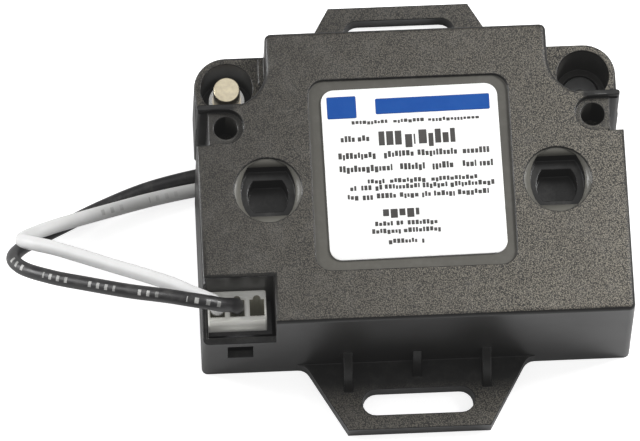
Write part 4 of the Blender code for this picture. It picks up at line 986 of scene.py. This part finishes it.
def makePlug(setup):
    bm = mergedCopy("plug_housing")
    places = [v.co for v in bm.verts]
    low = Vector([min(p[i] for p in places) for i in range(3)])
    high = Vector([max(p[i] for p in places) for i in range(3)])

    def isOutside(face):
        middle = face.calc_center_median()
        return (min(middle.x - low.x, high.x - middle.x, middle.y - low.y, high.y - middle.y) < setup["skin"]
                or min(middle.z - low.z, high.z - middle.z) < setup["topSkin"])

    rim = [e for e in bm.edges if len(e.link_faces) == 2 and e.calc_face_angle(0.0) > setup["sharpFrom"]
           and all(isOutside(f) for f in e.link_faces)]
    bmesh.ops.bevel(bm, geom=rim, offset=setup["edgeRound"], offset_type="OFFSET", segments=2, profile=0.5,
                    affect="EDGES", clamp_overlap=True, material=-1)
    # faces inside the ways take the darker, painted-shade nylon
    for face in bm.faces:
        inside = not isOutside(face) and face.calc_center_median().z < high.z - setup["mouth"]
        face.material_index = 1 if inside else 0
    finishMesh("plugShell", bm, ["nylon", "nylonPaintedShade"], ["plug_housing"], smooth=30)


makePlug(plugShell)
print("post, blank and plug made")


# potting: climbs the walls a little, so the middle is lower than its rim
pottingPour = {"climb": 0.00025, "rimWidth": 0.0009, "downFrom": -0.9}


def makePotting(setup):
    bm = mergedCopy("potting")
    under = [f for f in bm.faces if f.normal.z < setup["downFrom"]]
    made = bmesh.ops.inset_region(bm, faces=under, thickness=setup["rimWidth"], depth=0.0,
                                  use_even_offset=True, use_boundary=True)
    kept = {v for f in under for v in f.verts}
    rim = {v for f in made["faces"] for v in f.verts} - kept
    bmesh.ops.translate(bm, verts=list(rim), vec=(0, 0, -setup["climb"]))
    finishMesh("pottingPour", bm, "potting", ["potting"], smooth=50)


makePotting(pottingPour)
print("potting made")


# leads: routes repeated from the CAD, in metres
leads = {
    "radius": 0.0017,
    "sides": 20,
    "step": 0.0009,  # length of one ring of faces
    "fineShare": 0.25,  # of the step, between the points that the steps are picked from
    "printSide": (0.05, -0.30, 0.95),
}
blackRoute = [
    (-0.0416, 0.01313, 0.0022), (-0.0448, 0.01313, 0.0022), (-0.0485, 0.0129, 0.0021),
    (-0.0620, 0.0100, 0.0018), (-0.0736, 0.0056, 0.0018), (-0.0829, 0.0011, 0.0022),
    (-0.0887, -0.0023, 0.0040), (-0.0927, -0.0057, 0.0075), (-0.0945, -0.0095, 0.0120),
    (-0.0924, -0.0136, 0.0170), (-0.0854, -0.0181, 0.0228), (-0.0771, -0.0218, 0.0280),
    (-0.0672, -0.0258, 0.0335), (-0.0579, -0.0289, 0.0380), (-0.0533, -0.0303, 0.0393),
    (-0.0494, -0.0310, 0.0390), (-0.0459, -0.0311, 0.0369), (-0.0436, -0.0303, 0.0339),
    (-0.0426, -0.0294, 0.0308), (-0.04225, -0.02855, 0.02735), (-0.04225, -0.02855, 0.02575),
]
whiteRoute = [
    (-0.0416, 0.00937, 0.0022), (-0.0448, 0.00937, 0.0022), (-0.0485, 0.0093, 0.0022),
    (-0.0594, 0.0071, 0.0034), (-0.0710, 0.0038, 0.0052), (-0.0785, 0.0016, 0.0062),
    (-0.0843, -0.0003, 0.0074), (-0.0890, -0.0025, 0.0094), (-0.0922, -0.0058, 0.0145),
    (-0.0889, -0.0087, 0.0196), (-0.0843, -0.0109, 0.0223), (-0.0714, -0.0171, 0.0270),
    (-0.0628, -0.0215, 0.0310), (-0.0566, -0.0250, 0.0342), (-0.0530, -0.0272, 0.0352),
    (-0.0500, -0.0283, 0.0343), (-0.0479, -0.0286, 0.0320), (-0.0471, -0.0286, 0.0294),
    (-0.0469, -0.02855, 0.02735), (-0.0469, -0.02855, 0.02575),
]


# points at even steps on a centripetal curve through the route
def smoothRoute(route, step):
    given = [Vector(p) for p in route]
    ends = [given[0] * 2 - given[1]] + given + [given[-1] * 2 - given[-2]]
    line = []
    for a, b, c, d in zip(ends, ends[1:], ends[2:], ends[3:]):
        t0, t1 = 0.0, (b - a).length ** 0.5
        t2 = t1 + (c - b).length ** 0.5
        t3 = t2 + (d - c).length ** 0.5
        count = max(1, round((c - b).length / (step * leads["fineShare"])))
        for k in range(count):
            t = t1 + (t2 - t1) * k / count
            ab, bc, cd = (p.lerp(q, (t - u) / (v - u)) for p, q, u, v in
                          ((a, b, t0, t1), (b, c, t1, t2), (c, d, t2, t3)))
            line.append(ab.lerp(bc, (t - t0) / (t2 - t0)).lerp(bc.lerp(cd, (t - t1) / (t3 - t1)),
                                                               (t - t1) / (t2 - t1)))
    line.append(given[-1])
    kept, walked = [line[0]], 0.0
    for a, b in zip(line, line[1:]):
        walked += (b - a).length
        if walked >= step:
            kept.append(b)
            walked = 0.0
    return kept[:-1] + [line[-1]]


def sweepTube(path, radius, sides, printSide):
    bm = bmesh.new()
    along = bm.verts.layers.float.new("along")
    side = bm.verts.layers.float.new("side")
    headings = [(b - a).normalized() for a, b in zip([path[0]] + path[:-1], path[1:] + [path[-1]])]
    headings[0] = (path[1] - path[0]).normalized()
    start = Matrix.Translation(path[0]) @ headings[0].to_track_quat("Z", "Y").to_matrix().to_4x4()
    ring = bmesh.ops.create_circle(bm, cap_ends=False, segments=sides, radius=radius, matrix=start)["verts"]
    rings, walked = [(ring, 0.0)], 0.0
    edges = list(bm.edges)
    for index in range(1, len(path)):
        made = bmesh.ops.extrude_edge_only(bm, edges=edges)["geom"]
        ring = [v for v in made if isinstance(v, bmesh.types.BMVert)]
        held = set(ring)
        edges = [e for e in made if isinstance(e, bmesh.types.BMEdge) and held.issuperset(e.verts)]
        turn = headings[index - 1].rotation_difference(headings[index])
        bmesh.ops.rotate(bm, verts=ring, cent=path[index - 1], matrix=turn.to_matrix())
        bmesh.ops.translate(bm, verts=ring, vec=path[index] - path[index - 1])
        walked += (path[index] - path[index - 1]).length
        rings.append((ring, walked))
    bmesh.ops.holes_fill(bm, edges=[e for e in bm.edges if e.is_boundary], sides=sides)
    for (ring, distance), place, heading in zip(rings, path, headings):
        facing = Vector(printSide)
        facing = (facing - heading * facing.dot(heading)).normalized()
        for v in ring:
            v[along] = distance
            v[side] = (v.co - place).normalized().dot(facing)
    bmesh.ops.recalc_face_normals(bm, faces=bm.faces)
    return bm


def makeLead(name, route, finish, node):
    path = smoothRoute(route, leads["step"])
    bm = sweepTube(path, leads["radius"], leads["sides"], leads["printSide"])
    made = finishMesh(name, bm, finish, [node], smooth=60)
    print(name, "runs", round(sum((b - a).length for a, b in zip(path, path[1:])), 4), "m")


makeLead("leadBlack", blackRoute, "leadBlack", "black_lead")
makeLead("leadWhite", whiteRoute, "leadWhite", "white_lead")
print("leads made")


# the CAD pieces that are kept as they are: all of them are inside
insideFinishes = {
    "boardLaminate": ["circuit_board"],
    "epoxy": ["lead_anchor", "pin_header", "rectifier", "transistor_body"],
    "ferrite": ["core_left", "core_right", "choke_core"],
    "bobbinNylon": ["secondary_bobbin", "primary_bobbin", "coil_cradle", "core_stand_left",
                    "core_stand_right"],
    "copper": ["primary_winding", "choke_winding", *(f"secondary_winding_{k}" for k in range(1, 7))],
    "tin": ["hv_conductor", "terminal_1", "terminal_2", "header_pin_1", "header_pin_2", "header_pin_3",
            "fuse_cap_left", "fuse_cap_right", "transistor_tab"],
    "glass": ["fuse_tube"],
    "aluminium": ["heat_sink"],
    "filmBlue": ["storage_capacitor"],
    "sleeveDark": ["filter_capacitor"],
    "resistorBody": ["resistor_1", "resistor_2"],
}
for finish, names in insideFinishes.items():
    for name in names:
        nodes[name].data.materials.clear()
        nodes[name].data.materials.append(finishes[finish])
print("inside pieces finished:", sum(len(names) for names in insideFinishes.values()))
